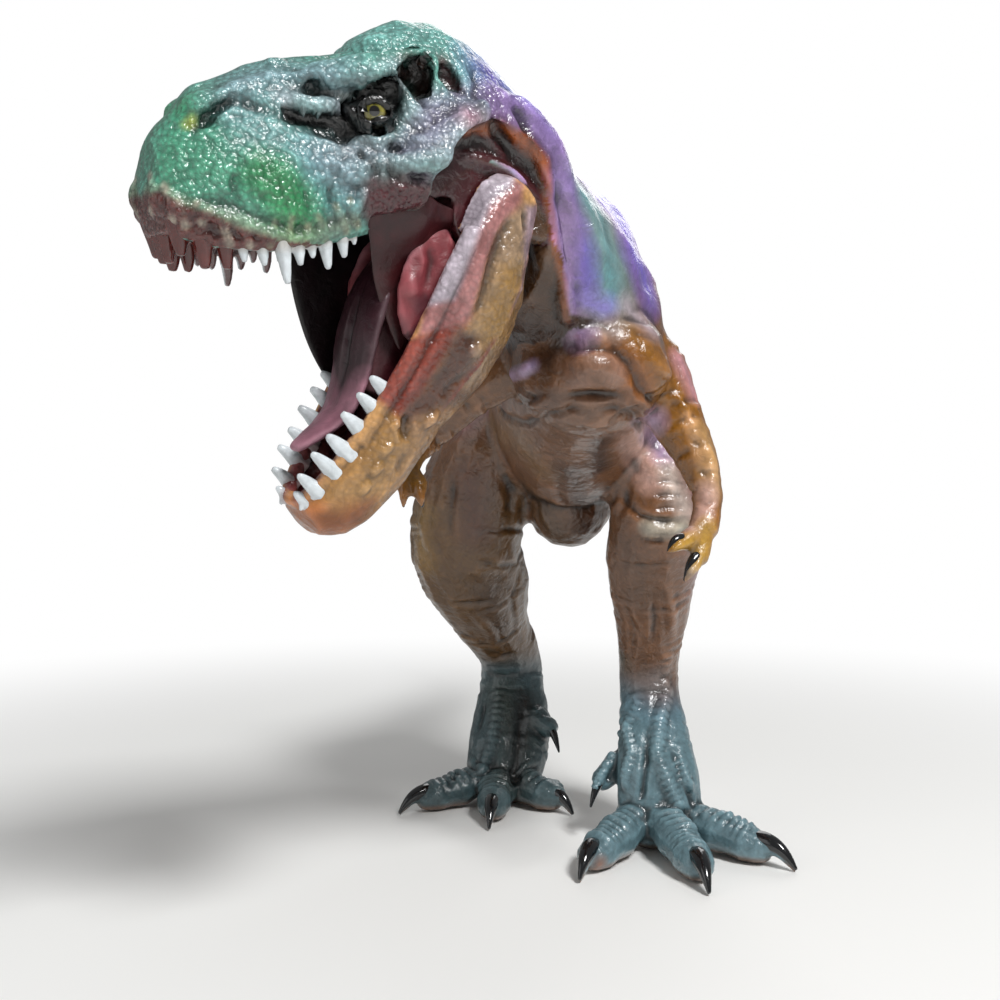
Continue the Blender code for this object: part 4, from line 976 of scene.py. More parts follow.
# what is painted: colour, radius, strength and the marks along the spray
headSprays = [
    ("#3F9672", 8.0, 0.8, [(176, 130), (166, 158), (170, 182)]),
    ("#4C9E7A", 9.0, 0.8, [(205, 165), (240, 185), (275, 205)]),
    ("#2F8A55", 5.0, 0.9, [(262, 170), (280, 180), (296, 206), (304, 230)]),
    ("#2FA06A", 4.0, 0.8, [(186, 106), (200, 96), (212, 88)]),
    ("#7C9CA6", 8.0, 0.9, [(232, 84), (262, 74), (300, 72), (330, 76)]),
    ("#7FA9AE", 7.0, 0.6, [(262, 130), (300, 140), (330, 150)]),
    ("#7296A4", 6.0, 0.8, [(320, 160), (344, 170), (352, 190)]),
    ("#6DB0A8", 8.0, 0.9, [(372, 40), (400, 28), (430, 30), (462, 54)]),
    ("#84949E", 8.0, 1.0, [(352, 150), (384, 152), (412, 150), (430, 140)]),
    ("#8E98A4", 7.0, 0.9, [(424, 112), (444, 122), (456, 142)]),
    ("#9AA6AE", 3.0, 0.8, [(284, 97), (310, 102), (342, 106)]),
    ("#8FA4AC", 3.0, 0.8, [(342, 97), (366, 84), (396, 68)]),
    ("#171517", 2.6, 1.0, [(286, 116), (306, 121), (328, 128), (345, 133), (362, 130)]),
    ("#171517", 4.4, 1.0, [(350, 112), (362, 106), (374, 94), (392, 88)]),
    ("#171517", 2.4, 1.0, [(362, 128), (378, 129), (390, 124), (396, 108), (394, 90)]),
    ("#171517", 2.0, 1.0, [(338, 136), (342, 140)]),
    ("#3A221E", 3.2, 1.0, [(410, 62), (414, 74), (419, 90)]),
    ("#5A2E30", 2.4, 1.0, [(444, 62), (450, 74), (457, 88)]),
    ("#1E1616", 1.5, 1.0, [(391, 144), (399, 151)]),
    ("#22201E", 2.2, 0.9, [(308, 86), (320, 90)]),
    ("#12100F", 1.5, 1.0, [(230, 101), (215, 110), (203, 120), (195, 127)]),
    ("#A8B23A", 1.5, 0.8, [(188, 124), (192, 120)]),
    ("#2C2022", 1.8, 0.8, [(371, 162), (376, 172), (372, 182)]),
    ("#2C2022", 1.8, 0.8, [(388, 167), (396, 177), (410, 176), (424, 176)]),
    ("#5A2228", 4.5, 1.0, [(378, 198), (400, 198), (424, 196)]),
    ("#4A1A22", 3.5, 1.0, [(376, 212), (396, 214), (418, 212)]),
    ("#B4706A", 2.4, 0.9, [(432, 198), (446, 184), (462, 170), (480, 158)]),
    ("#A98C98", 4.0, 0.7, [(448, 160), (470, 142), (482, 126)]),
    ("#8A7E5A", 2.6, 0.8, [(150, 196), (190, 212), (230, 222), (268, 236), (296, 244)]),
    ("#8A8A72", 2.4, 0.7, [(300, 238), (326, 230), (350, 222)]),
    ("#6E2A26", 2.4, 0.9, [(146, 204), (180, 222), (220, 232), (262, 244)]),
]
neckSprays = [("#7266AE", 10.0, 1.0, [(490, 72), (512, 96), (536, 136)]),
              ("#6E60AC", 7.0, 1.0, [(540, 140), (548, 160), (556, 184)]),
              ("#A57CAC", 7.0, 0.9, [(500, 112), (520, 140), (540, 172), (556, 210)]),
              ("#A886A8", 5.0, 0.9, [(492, 134), (516, 158), (540, 196), (554, 240)]),
              ("#B57A86", 4.0, 0.9, [(470, 116), (482, 136), (500, 152)]),
              ("#A080A4", 3.6, 0.8, [(562, 226), (568, 262), (572, 300)])]
browSprays = [("#98A4AA", 1.2, 1.0, [(286, 101), (298, 104), (312, 105), (326, 105), (339, 107)]),
              ("#98A4AA", 0.7, 1.0, [(302, 107), (304, 115)]),
              ("#98A4AA", 0.7, 1.0, [(315, 108), (317, 117)]),
              ("#A9B6B4", 0.9, 1.0, [(341, 97), (354, 96)]),
              ("#6E9A98", 1.3, 0.9, [(362, 86), (378, 74), (394, 70)]),
              ("#8A9498", 0.6, 0.9, [(378, 131), (388, 129), (393, 124)]),
              ("#8E9EA2", 1.0, 1.0, [(398, 74), (402, 92), (411, 108)])]
bodySprays = [
    ("#6A9296", 9.0, 1.0, [(580, 190), (598, 220), (606, 262), (612, 300)]),
    ("#7768BC", 5.0, 1.0, [(574, 236), (582, 262), (584, 284)]),
    ("#7768BC", 8.0, 1.0, [(618, 216), (634, 250), (648, 290)]),
    ("#7464B4", 4.0, 0.9, [(568, 190), (570, 230)]),
    ("#8C7FC2", 4.0, 0.9, [(574, 294), (592, 304), (606, 308)]),
    ("#A89AA0", 4.0, 0.8, [(626, 306), (640, 318), (650, 330)]),
    ("#80551F", 6.0, 1.0, [(626, 336), (646, 356), (664, 386), (682, 416)]),
    ("#7A4A24", 5.0, 1.0, [(604, 344), (624, 360), (640, 384)]),
    # painted highlight on the upper arm
    ("#B4868E", 4.0, 0.9, [(664, 326), (680, 360), (694, 392)]),
    ("#8A7C76", 4.0, 0.9, [(580, 324), (598, 330), (612, 330)]),
    # painted highlight on a chest fold
    ("#B4A4C8", 1.9, 1.0, [(512, 375), (524, 371), (534, 365)]),
    # painted highlights on the forearm
    ("#D0A27A", 2.4, 0.8, [(690, 420), (698, 440), (706, 470)]),
    ("#D2B0A0", 1.8, 0.8, [(712, 470), (714, 500)]),
    ("#8A6E62", 4.0, 0.9, [(578, 372), (598, 364), (614, 370)]),
    # painted shadow under the jaw and painted shade in the chest's crease
    ("#2E1C14", 5.0, 1.0, [(556, 330), (560, 346), (546, 362)]),
    ("#3A2418", 4.0, 0.9, [(520, 398), (552, 402)]),
    ("#75593F", 8.0, 0.9, [(490, 424), (520, 440), (540, 470)]),
    ("#6A5040", 8.0, 0.8, [(560, 420), (590, 420)]),
    # painted shade on the belly and in the crease between belly and leg
    ("#4A3826", 9.0, 0.9, [(540, 500), (552, 530), (570, 545)]),
    ("#3E281C", 6.0, 1.0, [(572, 470), (580, 500), (588, 530)]),
    ("#2E1E18", 4.0, 1.0, [(604, 440), (600, 470)]),
    # lilac and pink thigh paint lightened as painted highlight, with painted highlights on the knee
    # fold and the shin's lit side
    ("#B49CB8", 4.5, 0.9, [(654, 420), (658, 440), (662, 456)]),
    ("#BFA096", 5.0, 0.9, [(630, 434), (640, 460), (650, 480)]),
    ("#BDB0A8", 4.0, 0.8, [(668, 470), (676, 490), (684, 508)]),
    ("#B9B4A6", 3.5, 0.9, [(650, 528), (680, 528)]),
    ("#8C8E88", 4.0, 0.8, [(690, 566), (700, 592), (694, 620)]),
    ("#5E4636", 8.0, 0.8, [(630, 560), (640, 600)]),
    ("#A8865E", 4.0, 0.9, [(704, 432), (712, 456), (714, 486)]),
    ("#C7A59C", 3.5, 0.8, [(706, 492), (702, 512), (692, 528)]),
    ("#A58348", 3.5, 1.0, [(706, 528), (704, 546), (700, 562)]),
    ("#A5823E", 2.6, 0.9, [(692, 540), (680, 548)]),
    ("#86683A", 6.0, 0.9, [(416, 470), (418, 520), (424, 560)]),
    # painted shade on the right leg and foot, and a painted shadow in the foot's groove
    ("#4E2E20", 8.0, 0.9, [(470, 480), (476, 530)]),
    ("#4B3A2E", 8.0, 0.8, [(490, 590), (500, 630)]),
    ("#3A4440", 7.0, 0.9, [(470, 700), (450, 740), (430, 780)]),
    ("#3A4440", 8.0, 0.9, [(500, 690), (520, 740), (510, 780)]),
    ("#161A1C", 5.0, 1.0, [(524, 700), (520, 740), (512, 780)]),
    # painted highlight on the right foot's heel pad
    ("#6C8CA4", 3.0, 0.9, [(548, 690), (556, 712), (558, 730)]),
    ("#7C9A98", 2.6, 0.8, [(562, 786), (570, 800)]),
    ("#4C463A", 5.0, 0.9, [(622, 660), (614, 700), (610, 730)]),
    ("#7A4A2C", 3.0, 0.8, [(600, 864), (640, 868)]),
]
skinColours = {
    "trunk": "#6B4C38", "arms": "#7E5428", "rightArm": "#6E4E36", "legs": "#6A4A34",
    # rightLegShade and rightFootShade are painted shade on the right leg and foot
    "hips": "#8C6E96", "hipTops": "#7466AE", "rightLegShade": "#5A4024", "leftThigh": "#A38894",
    "feet": "#5B7480", "leftFoot": "#61787F", "rightFootShade": "#3C4A4A", "soles": "#6E4A30",
    "head": "#579A8C", "greenPatch": "#2C8A50", "gumCurtain": "#5C241E", "mouth": "#2C0A10",
    # hollow, innerRoll and the deep colours are painted shade in the recess behind the jaw
    "neckEdge": "#84729A", "neckDown": "#8A7696", "hollow": "#3A161A", "innerRoll": "#32141A",
    "deep": "#46301F", "deepFront": "#3C1216", "deepDown": "#2E1A10", "cheekUnder": "#4E1E24",
    "rim": "#96522C", "mask": "#060506", "fenestra": "#24140F", "rearFenestra": "#42191C",
    "gumRidges": "#BDB4A0", "toothRidges": "#9A9878",
    # from the flanks up to the ridge of the back
    "bands": [(-0.15, 0.25, "#8C7468"), (0.10, 0.45, "#94719C"), (0.40, 0.62, "#7466B6"),
              (0.72, 0.92, "#6790A2")],
}


def aroundSpine(points):
    # 1 on the ridge of the back, -1 under the belly
    chosen, gaps, along = nearLine(points, spine, 60)
    line = np.array(spine)
    spot = along * (len(line) - 1)
    low = np.minimum(spot.astype(int), len(line) - 2)
    centre = line[low] + (line[low + 1] - line[low]) * (spot - low)[:, None]
    rise = np.zeros(len(points))
    rise[chosen] = (points[chosen] - centre)[:, 2] / np.maximum(gaps, 1e-6)
    return rise


def paintBody(noise, fine):
    colours = skinColours
    x, height = skin["points"][:, 0], skin["points"][:, 2]
    rise = aroundSpine(skin["points"]) + 0.10 * noise + 0.05 * fine
    trunk = isNode("torso", "head", "tail_base", "tail_tip")
    tint(skin, trunk, colours["trunk"])
    for low, high, colour in colours["bands"]:
        tint(skin, trunk * smoothStep(rise, low, high), colour)
    tint(skin, isNode("left_arm", "right_arm"), colours["arms"])
    tint(skin, isNode("right_arm") * smoothStep(height, 98, 106), colours["rightArm"])
    legs = isNode("left_leg", "right_leg")
    tint(skin, legs, colours["legs"])
    tint(skin, legs * smoothStep(height + 6 * noise, 104, 124) * 0.9, colours["hips"])
    tint(skin, legs * smoothStep(height + 5 * noise, 124, 134) * 0.8, colours["hipTops"])
    # painted shade on the lower right leg
    tint(skin, legs * (x < bodyMiddle) * smoothStep(-height, -104, -84), colours["rightLegShade"])
    tint(skin, legs * (x > bodyMiddle) * smoothStep(np.abs(x - bodyMiddle) + 5 * noise, 24, 36)
         * smoothStep(height, 56, 84) * 0.6, colours["leftThigh"])
    feet = isNode("left_foot", "right_foot", "left_leg", "right_leg")
    low = 3 * noise - height
    tint(skin, feet * smoothStep(low, -46, -32), colours["feet"])
    tint(skin, feet * (x > bodyMiddle) * smoothStep(low, -40, -26), colours["leftFoot"])
    # painted shade on the right foot
    tint(skin, feet * (x < bodyMiddle) * smoothStep(low, -46, -30) * 0.8, colours["rightFootShade"])
    tint(skin, smoothStep(-height, -3.0, -1.2) * 0.7, colours["soles"])


def paintHead():
    colours = skinColours
    back, up = headLocal[:, 1], headLocal[:, 2]
    tint(skin, isNode("head") * smoothStep(-back, -16, -2) * smoothStep(up, -14, -8),
         colours["head"])
    sprayAll(skin, headSprays, mirrorHead)
    tint(skin, outlined(skin, outlines["greenPatch"], 14) * 0.75, colours["greenPatch"])
    sprayAll(skin, neckSprays, mirrorHead)
    sprayAll(skin, bodySprays, noMirror)
    tint(skin, outlined(skin, outlines["gumCurtain"], 3) * isNode("head"), colours["gumCurtain"])


def paintRecess():
    # the mouth's inside, the neck's edge and the hollow that the jaw turns in
    colours = skinColours
    back, up = headLocal[:, 1], headLocal[:, 2]
    head = isNode("head")
    span = np.hypot(back, up)
    aside = np.abs(headLocal[:, 0])
    across = headNormal[:, 0] * np.sign(headLocal[:, 0])
    inner = head * (across < 0.1) * (aside < 12.2) * (up < 6) * (back > -50)
    inner = inner + head * (aside < 12.2) * (back > -28) * (up < 6)
    tint(skin, (inner > 0) * (back < 14), colours["mouth"])
    for side in (-1, 1):
        edge = [headPlace(side * 13, *spot) for spot in neckEdge(18.5)]
        down = [headPlace(side * (x + 1.5), y, z) for x, y, z in edgeDown]
        spray(skin, edge, 6.0, colours["neckEdge"])
        spray(skin, down, 4.5, colours["neckDown"], 0.9)
    # the hollow behind the jaw painted dark maroon as painted shade
    hollow = head * ((span < 14.2) * (aside < 12.9) + (span < 17) * (aside < 12.2) > 0)
    tint(skin, hollow, colours["hollow"])
    for side in (-1, 1):
        # painted shade on the inner roll
        roll = [headPlace(side * 12.6, *spot) for spot in neckEdge(15.4)[:6]]
        spray(skin, roll, 3.2, colours["innerRoll"], 1.6)
    # painted shade deep in the hollow, darker towards the front and the bottom
    deep = outlined(skin, outlines["hollow"], 2.5, reach=6) * head
    deep *= (span < 14.4) + (up < -5) > 0
    tint(skin, deep, colours["deep"])
    tint(skin, deep * smoothStep(-back, -12, -6), colours["deepFront"])
    tint(skin, deep * smoothStep(-up, 15, 23), colours["deepDown"])
    skin["pebble"] *= 1 - deep
    tint(skin, outlined(skin, outlines["cheekUnder"], 10), colours["cheekUnder"])
    for side in (-1, 1):
        rim = [headPlace(side * 13.4, *spot) for spot in neckEdge(15.0)[:6]]
        rim += [headPlace(side * (x + 2), y - 2.2, z) for x, y, z in edgeDown]
        spray(skin, rim, 2.0, colours["rim"], 0.9)


def shadeRelief(noise, fine):
    # painted shade in the creases and painted highlight on the ridges
    dark = ridgeHeight(skin, 14)
    wide = ridgeHeight(skin, 60)
    creaseShade = smoothStep(-dark, 0.03, 0.32) * 0.55 + smoothStep(-wide, 0.2, 1.0) * 0.30
    skin["paint"] *= (1 - creaseShade.clip(0, 0.8))[:, None]
    # painted highlight: the ridges lightened
    lift = (smoothStep(dark, 0.06, 0.4) * (0.6 + 0.4 * fine)).clip(0, 1)[:, None]
    skin["paint"] += (skin["paint"] * 0.55 + 0.02) * lift
    skin["paint"] *= (1 + 0.12 * noise + 0.10 * fine)[:, None]


def paintMarks():
    # the openings of the skull, the bared gums and the brow, over the painted shade and highlight
    for name in carvedOutlines:
        cover = outlined(skin, outlines[name], 2.0, reach=7)
        tint(skin, cover, skinColours[name])
        skin["pebble"] *= 1 - cover * 0.85
    gum, ivory = skinColours["gumRidges"], skinColours["toothRidges"]
    sprayAll(skin, [(gum, 0.9, 1.0, marks) for marks in gumRidges], mirrorHead)
    sprayAll(skin, [(ivory, 0.8, 0.8, marks) for marks in toothRidges], mirrorHead)
    sprayAll(skin, browSprays, mirrorHead)


def paintSkin():
    noise = softNoise(skin["points"], 9.0, 31)
    fine = softNoise(skin["points"], 3.0, 32)
    paintBody(noise, fine)
    paintHead()
    paintRecess()
    shadeRelief(noise, fine)
    paintMarks()
    grey = skin["paint"].mean(1, keepdims=True)
    vivid = 1.18 - 0.26 * (isNode("head") * smoothStep(-headLocal[:, 1], -2, 8))[:, None]
    skin["paint"] = (grey + (skin["paint"] - grey) * vivid).clip(0.002, 1)


carveSkin()
pebbleSkin()
paintSkin()
print("skin carved and painted")
partSkin(skin, owner, skinNodes)
print("skin parted")


# the jaw, its lining and tongue, and the palate

jawStrokes = [
    (3.4, 1.1, [(510, 200), (492, 214), (478, 240), (470, 270), (463, 300), (450, 322)]),
    (1.4, -0.7, [(516, 212), (500, 236), (490, 268), (482, 300), (468, 326)]),
    (7.0, 0.8, [(520, 230), (514, 270), (505, 310)]),
    (1.6, 0.6, [(450, 328), (430, 352), (412, 384), (404, 404)]),
    (2.0, -1.4, [(404, 412), (405, 426), (408, 444)]), (2.2, 1.2, [(396, 420), (400, 428)]),
    (2.8, 1.3, [(428, 414), (432, 424)]), (2.2, 0.8, [(384, 444), (390, 454)]),
    (2.2, 0.8, [(372, 464), (380, 474)]), (2.2, 0.7, [(360, 484), (370, 492)]),
    (1.8, -0.6, [(410, 446), (402, 462), (396, 480)]), (2.0, 0.6, [(408, 462), (412, 476)]),
    (1.6, 0.6, [(424, 440), (424, 454)]),
    (1.3, -0.9, [(524, 208), (525, 236), (528, 262), (526, 290)]),
    (1.6, -0.6, [(440, 400), (452, 384), (470, 372)]),
    (2.2, 0.7, [(462, 348), (474, 352), (486, 344)]),
]
jawSprays = [
    ("#9A7A54", 9.0, 0.9, [(512, 230), (508, 280), (498, 330)]),
    ("#A98C72", 4.0, 0.9, [(524, 220), (530, 250), (528, 286)]),
    ("#A86A64", 4.6, 1.0, [(508, 204), (488, 222), (474, 250), (466, 282), (456, 312)]),
    # painted highlights on the lip band
    ("#B9A6AE", 2.6, 0.9, [(504, 200), (486, 218), (472, 246), (468, 274)]),
    ("#9E4A38", 3.4, 1.0, [(452, 320), (436, 342), (420, 366)]),
    ("#8E2F28", 3.0, 1.0, [(424, 362), (410, 386), (402, 404)]),
    ("#6E4020", 6.0, 0.9, [(456, 386), (436, 396), (420, 408)]),
    ("#A8873F", 5.0, 0.8, [(478, 350), (492, 336), (504, 318)]),
    ("#8E7A66", 3.5, 0.7, [(460, 346), (470, 356), (474, 368)]),
    ("#8E6C48", 5.0, 0.9, [(428, 418), (420, 440), (404, 460)]),
    ("#94703E", 6.0, 0.9, [(390, 448), (376, 474), (356, 500)]),
    ("#A05C14", 7.0, 1.0, [(280, 512), (300, 520), (326, 530), (350, 526)]),
    ("#B86A28", 3.0, 0.9, [(262, 502), (290, 508), (316, 510)]),
    ("#5A3A1E", 4.0, 0.8, [(480, 392), (500, 370), (516, 350)]),
]
jawOutlines = {
    "lip": [(496, 170), (524, 184), (520, 202), (508, 214), (497, 236), (488, 262), (478, 292),
            (470, 318), (452, 332), (418, 336), (426, 300), (430, 270), (442, 240), (452, 212),
            (472, 178)],
    # lipTop: the lilac top of the lip band, lightened as painted highlight
    "lipTop": [(492, 170), (516, 176), (510, 188), (492, 202), (482, 226), (473, 252), (464, 276),
               (454, 300), (426, 306), (434, 276), (448, 240), (458, 212), (476, 180)],
    "rear": [(526, 206), (540, 206), (542, 290), (528, 290), (524, 250)],
    "redLip": [(425, 334), (457, 325), (453, 346), (436, 370), (420, 398), (400, 414), (376, 400),
               (390, 362), (408, 338)],
    "outer": [(524, 206), (534, 240), (536, 300), (522, 336), (500, 362), (470, 392), (452, 372),
              (476, 314), (486, 270), (498, 222)],
    "yellow": [(500, 268), (522, 262), (530, 300), (512, 344), (486, 352), (478, 330), (490, 300)],
    "brownBand": [(457, 325), (478, 338), (474, 366), (452, 392), (430, 410), (402, 424),
                  (406, 408), (422, 392), (440, 362)],
    "chin": [(262, 502), (300, 510), (340, 514), (376, 498), (360, 526), (330, 540), (284, 532)],
    # under: the underside of the jaw, darkened as painted shade
    "under": [(470, 392), (500, 362), (520, 345), (505, 375), (470, 402), (430, 412), (405, 412),
              (425, 394), (450, 384)],
}
liningStrokes = [(2.0, -1.0, [(404, 246), (414, 262)]),
                 (1.8, 0.8, [(440, 214), (450, 244), (444, 290), (430, 316)]),
                 (1.6, -0.7, [(424, 236), (432, 262), (424, 296)]),
                 (2.0, 0.7, [(408, 272), (414, 300)])]
# each flap's lighter pink half and darker half are painted highlight and painted shade
liningSprays = [("#A24A50", 4.5, 1.0, [(444, 214), (450, 244), (444, 290)]),
                ("#7E3A42", 4.5, 1.0, [(420, 240), (412, 280), (414, 312)]),
                ("#5E2A32", 2.5, 0.8, [(408, 244), (416, 262)])]
tongueSprays = [("#8A5C6A", 4.5, 1.0, [(364, 388), (344, 404), (318, 428), (296, 442)])]
mouthPieces = {
    "lower_jaw": {"name": "lowerJaw", "voxel": 0.42, "smooth": 5, "colour": "#B0824C",
                  "body": "jaw", "slot": "jaw_paint", "finish": "jaw", "strokes": jawStrokes,
                  "sprays": jawSprays,
                  "fills": [("outer", 8, "#93795E"), ("yellow", 14, "#94703A"),
                            ("under", 8, "#4E3018"), ("lip", 5, "#93605E"),
                            # the under fill is painted shade
                            ("lipTop", 5, "#A79CA6"), ("redLip", 6, "#7C3020"),
                            # the lipTop fill is lilac paint lightened as painted highlight
                            ("brownBand", 9, "#4E2C1C"), ("rear", 4, "#8A747A"),
                            ("chin", 9, "#87480E")],
                  "pebble": 0.6, "rough": 0.16},
    "jaw_lining": {"name": "jawLining", "voxel": 0.42, "smooth": 8, "colour": "#3E1018",
                   "body": "jaw", "slot": "gum_paint", "finish": "mouth",
                   "strokes": liningStrokes, "sprays": liningSprays, "pebble": 0.1, "rough": 0.12},
    "tongue": {"name": "tongueShape", "voxel": 0.35, "smooth": 8, "colour": "#341820",
               "body": "jaw", "slot": "tongue_paint", "finish": "mouth", "strokes": [],
               "sprays": tongueSprays, "pebble": 0.1, "rough": 0.08},
    "palate": {"name": "palateShape", "voxel": 0.5, "smooth": 6, "colour": "#2A0E12",
               "body": "figure", "slot": "mouth_paint", "finish": "mouth", "strokes": [],
               "sprays": [], "pebble": 0.1, "rough": 0.1},
}
jawRoll = {"out": 0.8, "end": (14.2, -6, 3.0), "radii": [1.5, 1.6, 1.7, 1.8, 1.4], "front": 1.5}
liningFlap = {"place": (9.1, -15.0, 2.9), "radii": (1.4, 9.7, 3.3), "tilt": 10}
tongueGroove = [(0, -18, 8.5), (0, -24, 8.8), (0, -30, 6.4), (0, -37, 2.6), (0, -43, 1.0)]


def makeFlaps():
    # the two red muscle flaps in the corners of the mouth
    turn = jawTurn @ Matrix.Rotation(math.radians(liningFlap["tilt"]), 3, "X")
    x, y, z = liningFlap["place"]
    return [ball(jawPlace(side * x, y, z), liningFlap["radii"], turn) for side in (-1, 1)]


def makeRolls():
    # the fleshy lip along both sides and the front of the jaw
    rolls = []
    for side in (-1, 1):
        stops = lowerArch[3:] + [jawRoll["end"]]
        rolls.append(cord([jawPlace(side * x + side * jawRoll["out"], y, z) for x, y, z in stops],
                          jawRoll["radii"]))
    front = wholeArch(lowerArch[:4])
    return rolls + [cord([jawPlace(*point) for point in front], [jawRoll["front"]] * len(front))]


def thinPalate(shape):
    # draws the lining in, most where it faces down or inwards, clear of the jaw as it shuts
    across = localTo(headTurn, shape["points"])
    way = shape["normals"] @ np.array(headTurn)
    facing = (way[:, 0] * np.sign(across[:, 0]) < -0.3) + (way[:, 2] < -0.3) > 0
    shape["points"] -= shape["normals"] * np.where(facing, 0.8, 0.4)[:, None]


def paintJaw(shape, local, face):
    inside = (face[:, 0] * np.sign(local[:, 0]) < -0.25) * (np.abs(local[:, 0]) < 14.5)
    tint(shape, inside * 0.95, "#6A2426")
    # painted shade on the faces that turn downwards
    tint(shape, smoothStep(-face[:, 2], 0.3, 0.8) * 0.5, "#6E4A26")
    for side in (-1, 1):
        gum = [jawPlace(side * (x - 0.9), y, z + 0.9) for x, y, z in lowerArch[1:6]]
        spray(shape, gum, 1.9, "#5C1A1A")
    shape["pebble"] *= smoothStep(local[:, 1], -64, -52)


def paintLining(shape, local):
    flap = (np.abs(local[:, 0]) > 7.6) * (np.abs(local[:, 1] + 15.8) < 11.4) * (local[:, 2] > 0.6)
    blush = softNoise(shape["points"], 5.0, 43)
    tint(shape, flap * 0.95, "#7E363C")
    tint(shape, flap * smoothStep(blush, 0.0, 0.5), "#5E2A32")
    # painted highlight along the top of the flaps
    tint(shape, flap * smoothStep(local[:, 2], 6.5, 9) * 0.7, "#B4828A")


def makeMouthPiece(node, facts):
    item = nodeCopy(facts["name"], node)
    if node == "jaw_lining":
        item = joined(facts["name"], [item] + makeFlaps())
    if node == "lower_jaw":
        item = joined(facts["name"], [item] + makeRolls())
    remeshed(item, facts["voxel"], facts["smooth"])
    biggestShell(item)
    shape = openShape(item, facts["colour"])
    shape["pebble"][:] = facts["pebble"]
    carveAll(shape, facts["strokes"], mirrorHead)
    if node == "palate":
        thinPalate(shape)
    if node == "tongue":
        carve(shape, [jawPlace(*point) for point in tongueGroove], 1.8, -0.9)
    lumps = softNoise(shape["points"], 2.4, 41) * facts["rough"]
    shape["points"] += shape["normals"] * lumps[:, None]
    writePoints(shape)
    sprayAll(shape, facts["sprays"], mirrorHead)
    local = localTo(jawTurn, shape["points"])
    for name, soft, colour in facts.get("fills", []):
        tint(shape, outlined(shape, jawOutlines[name], soft), colour)
    if node == "lower_jaw":
        paintJaw(shape, local, shape["normals"] @ np.array(jawTurn))
    if node == "jaw_lining":
        paintLining(shape, local)
    # painted shade in the creases and painted highlight on the ridges
    dark = ridgeHeight(shape, 16)
    shape["paint"] *= (1 - smoothStep(-dark, 0.02, 0.25) * 0.6)[:, None]
    shape["paint"] += (shape["paint"] * 0.5 + 0.03) * smoothStep(dark, 0.05, 0.3)[:, None]
    shape["paint"] *= (1 + 0.16 * softNoise(shape["points"], 4.0, 42))[:, None]
    finishShape(shape, vinyl[facts["finish"]])
    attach(item, facts["body"])
    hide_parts(node)


for node, facts in mouthPieces.items():
    makeMouthPiece(node, facts)
print("jaw and mouth made")


# the skins of the cheeks, between the jaws

cheekSizes = {
    "leftCheek": {"side": 1, "aside": 7.2, "colour": "#3A1014",
                  "reach": [29, 26, 24, 23.5, 24, 26, 29]},
    # the far cheek is painted near-black as painted shade inside the mouth
    "rightCheek": {"side": -1, "aside": 10.6, "colour": "#12060A",
                   "reach": [33, 31, 30.5, 31.5, 33, 35, 37]},
    "rows": 15, "columns": 12, "inner": 7.0, "thickness": 0.9, "from": -15, "beyond": 17,
    "bulge": 1.4,
}


def cheekPoint(facts, part, share):
    # part runs from the upper to the lower jaw, share from the hinge to the mouth's corner
    angle = math.radians(part * (jawOpen + cheekSizes["beyond"]) + cheekSizes["from"])
    inner = cheekSizes["inner"]
    reach = inner + (np.interp(part * 6, range(7), facts["reach"]) - inner) * share
    aside = 10.8 + 2.6 * float(smoothStep(reach, 10.0, 15.0)) - 0.16 * max(reach - 14, 0)
    aside += (facts["aside"] - aside) * float(smoothStep(part, 0.18, 0.70))
    bulge = cheekSizes["bulge"] * share * share * math.sin(math.pi * part)
    return headPlace(facts["side"] * (aside - bulge), -reach * math.cos(angle),
                     -reach * math.sin(angle) - 1.2)


def makeCheek(name):
    facts, rows, columns = cheekSizes[name], cheekSizes["rows"], cheekSizes["columns"]
    shape = bmesh.new()
    grid = [[shape.verts.new(cheekPoint(facts, row / (rows - 1), column / (columns - 1)) * mm)
             for column in range(columns)] for row in range(rows)]
    for first, second in zip(grid, grid[1:]):
        for column in range(columns - 1):
            corners = (first[column], first[column + 1], second[column + 1], second[column])
            shape.faces.new(corners if facts["side"] < 0 else corners[::-1])
    bmesh.ops.recalc_face_normals(shape, faces=shape.faces)
    mesh = bpy.data.meshes.new(name)
    shape.to_mesh(mesh)
    shape.free()
    item = newObject(name, mesh)
    applied(item, "SOLIDIFY", thickness=cheekSizes["thickness"] * mm, offset=0.0)
    applied(item, "SUBSURF", levels=2, render_levels=2)
    cheek = openShape(item, facts["colour"])
    cheek["pebble"][:] = 0.1
    mottle = np.abs(softNoise(cheek["points"], 3.0, 51))
    cheek["paint"] *= (0.75 + 0.6 * mottle)[:, None]
    finishShape(cheek, vinyl["mouth"])
    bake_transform(item)


makeCheek("leftCheek")
makeCheek("rightCheek")
print("cheeks made")


# teeth and gums: place along the jaw, length and radius of each tooth

teethSizes = {"upper": [(-41.0, 6.4, 1.15), (-38.3, 3.8, 1.05), (-35.9, 3.0, 0.9),
                        (-33.4, 5.2, 1.15), (-30.4, 4.0, 1.05), (-28.4, 2.4, 0.75),
                        (-44.2, 3.6, 1.0), (-47.2, 3.2, 0.9)],
              # upperDark: front upper teeth in dark red paint, deepened as painted shade
              "upperDark": [(-50.0, 5.6, 1.5), (-53.2, 6.2, 1.7), (-56.4, 5.4, 1.6),
                            (-56.9, 6.6, 1.6)],
              "lower": [(-37.6, 4.6, 1.4), (-41.4, 5.0, 1.4), (-45.8, 5.4, 1.5),
                        (-50.4, 5.2, 1.5), (-54.4, 5.4, 1.4), (-58.6, 4.6, 1.3), (-61.2, 2.6, 1.0)],
              "taper": (1.5, 1.25, 0.95, 0.72, 0.42)}
teethColours = {"ivory": "#D5DCE0", "upperRoot": "#A08A6E", "lowerRoot": "#8A4A40",
                # dark: dark red tooth paint, deepened as painted shade
                "dark": "#5A211C",
                "inner": "#55221E"}


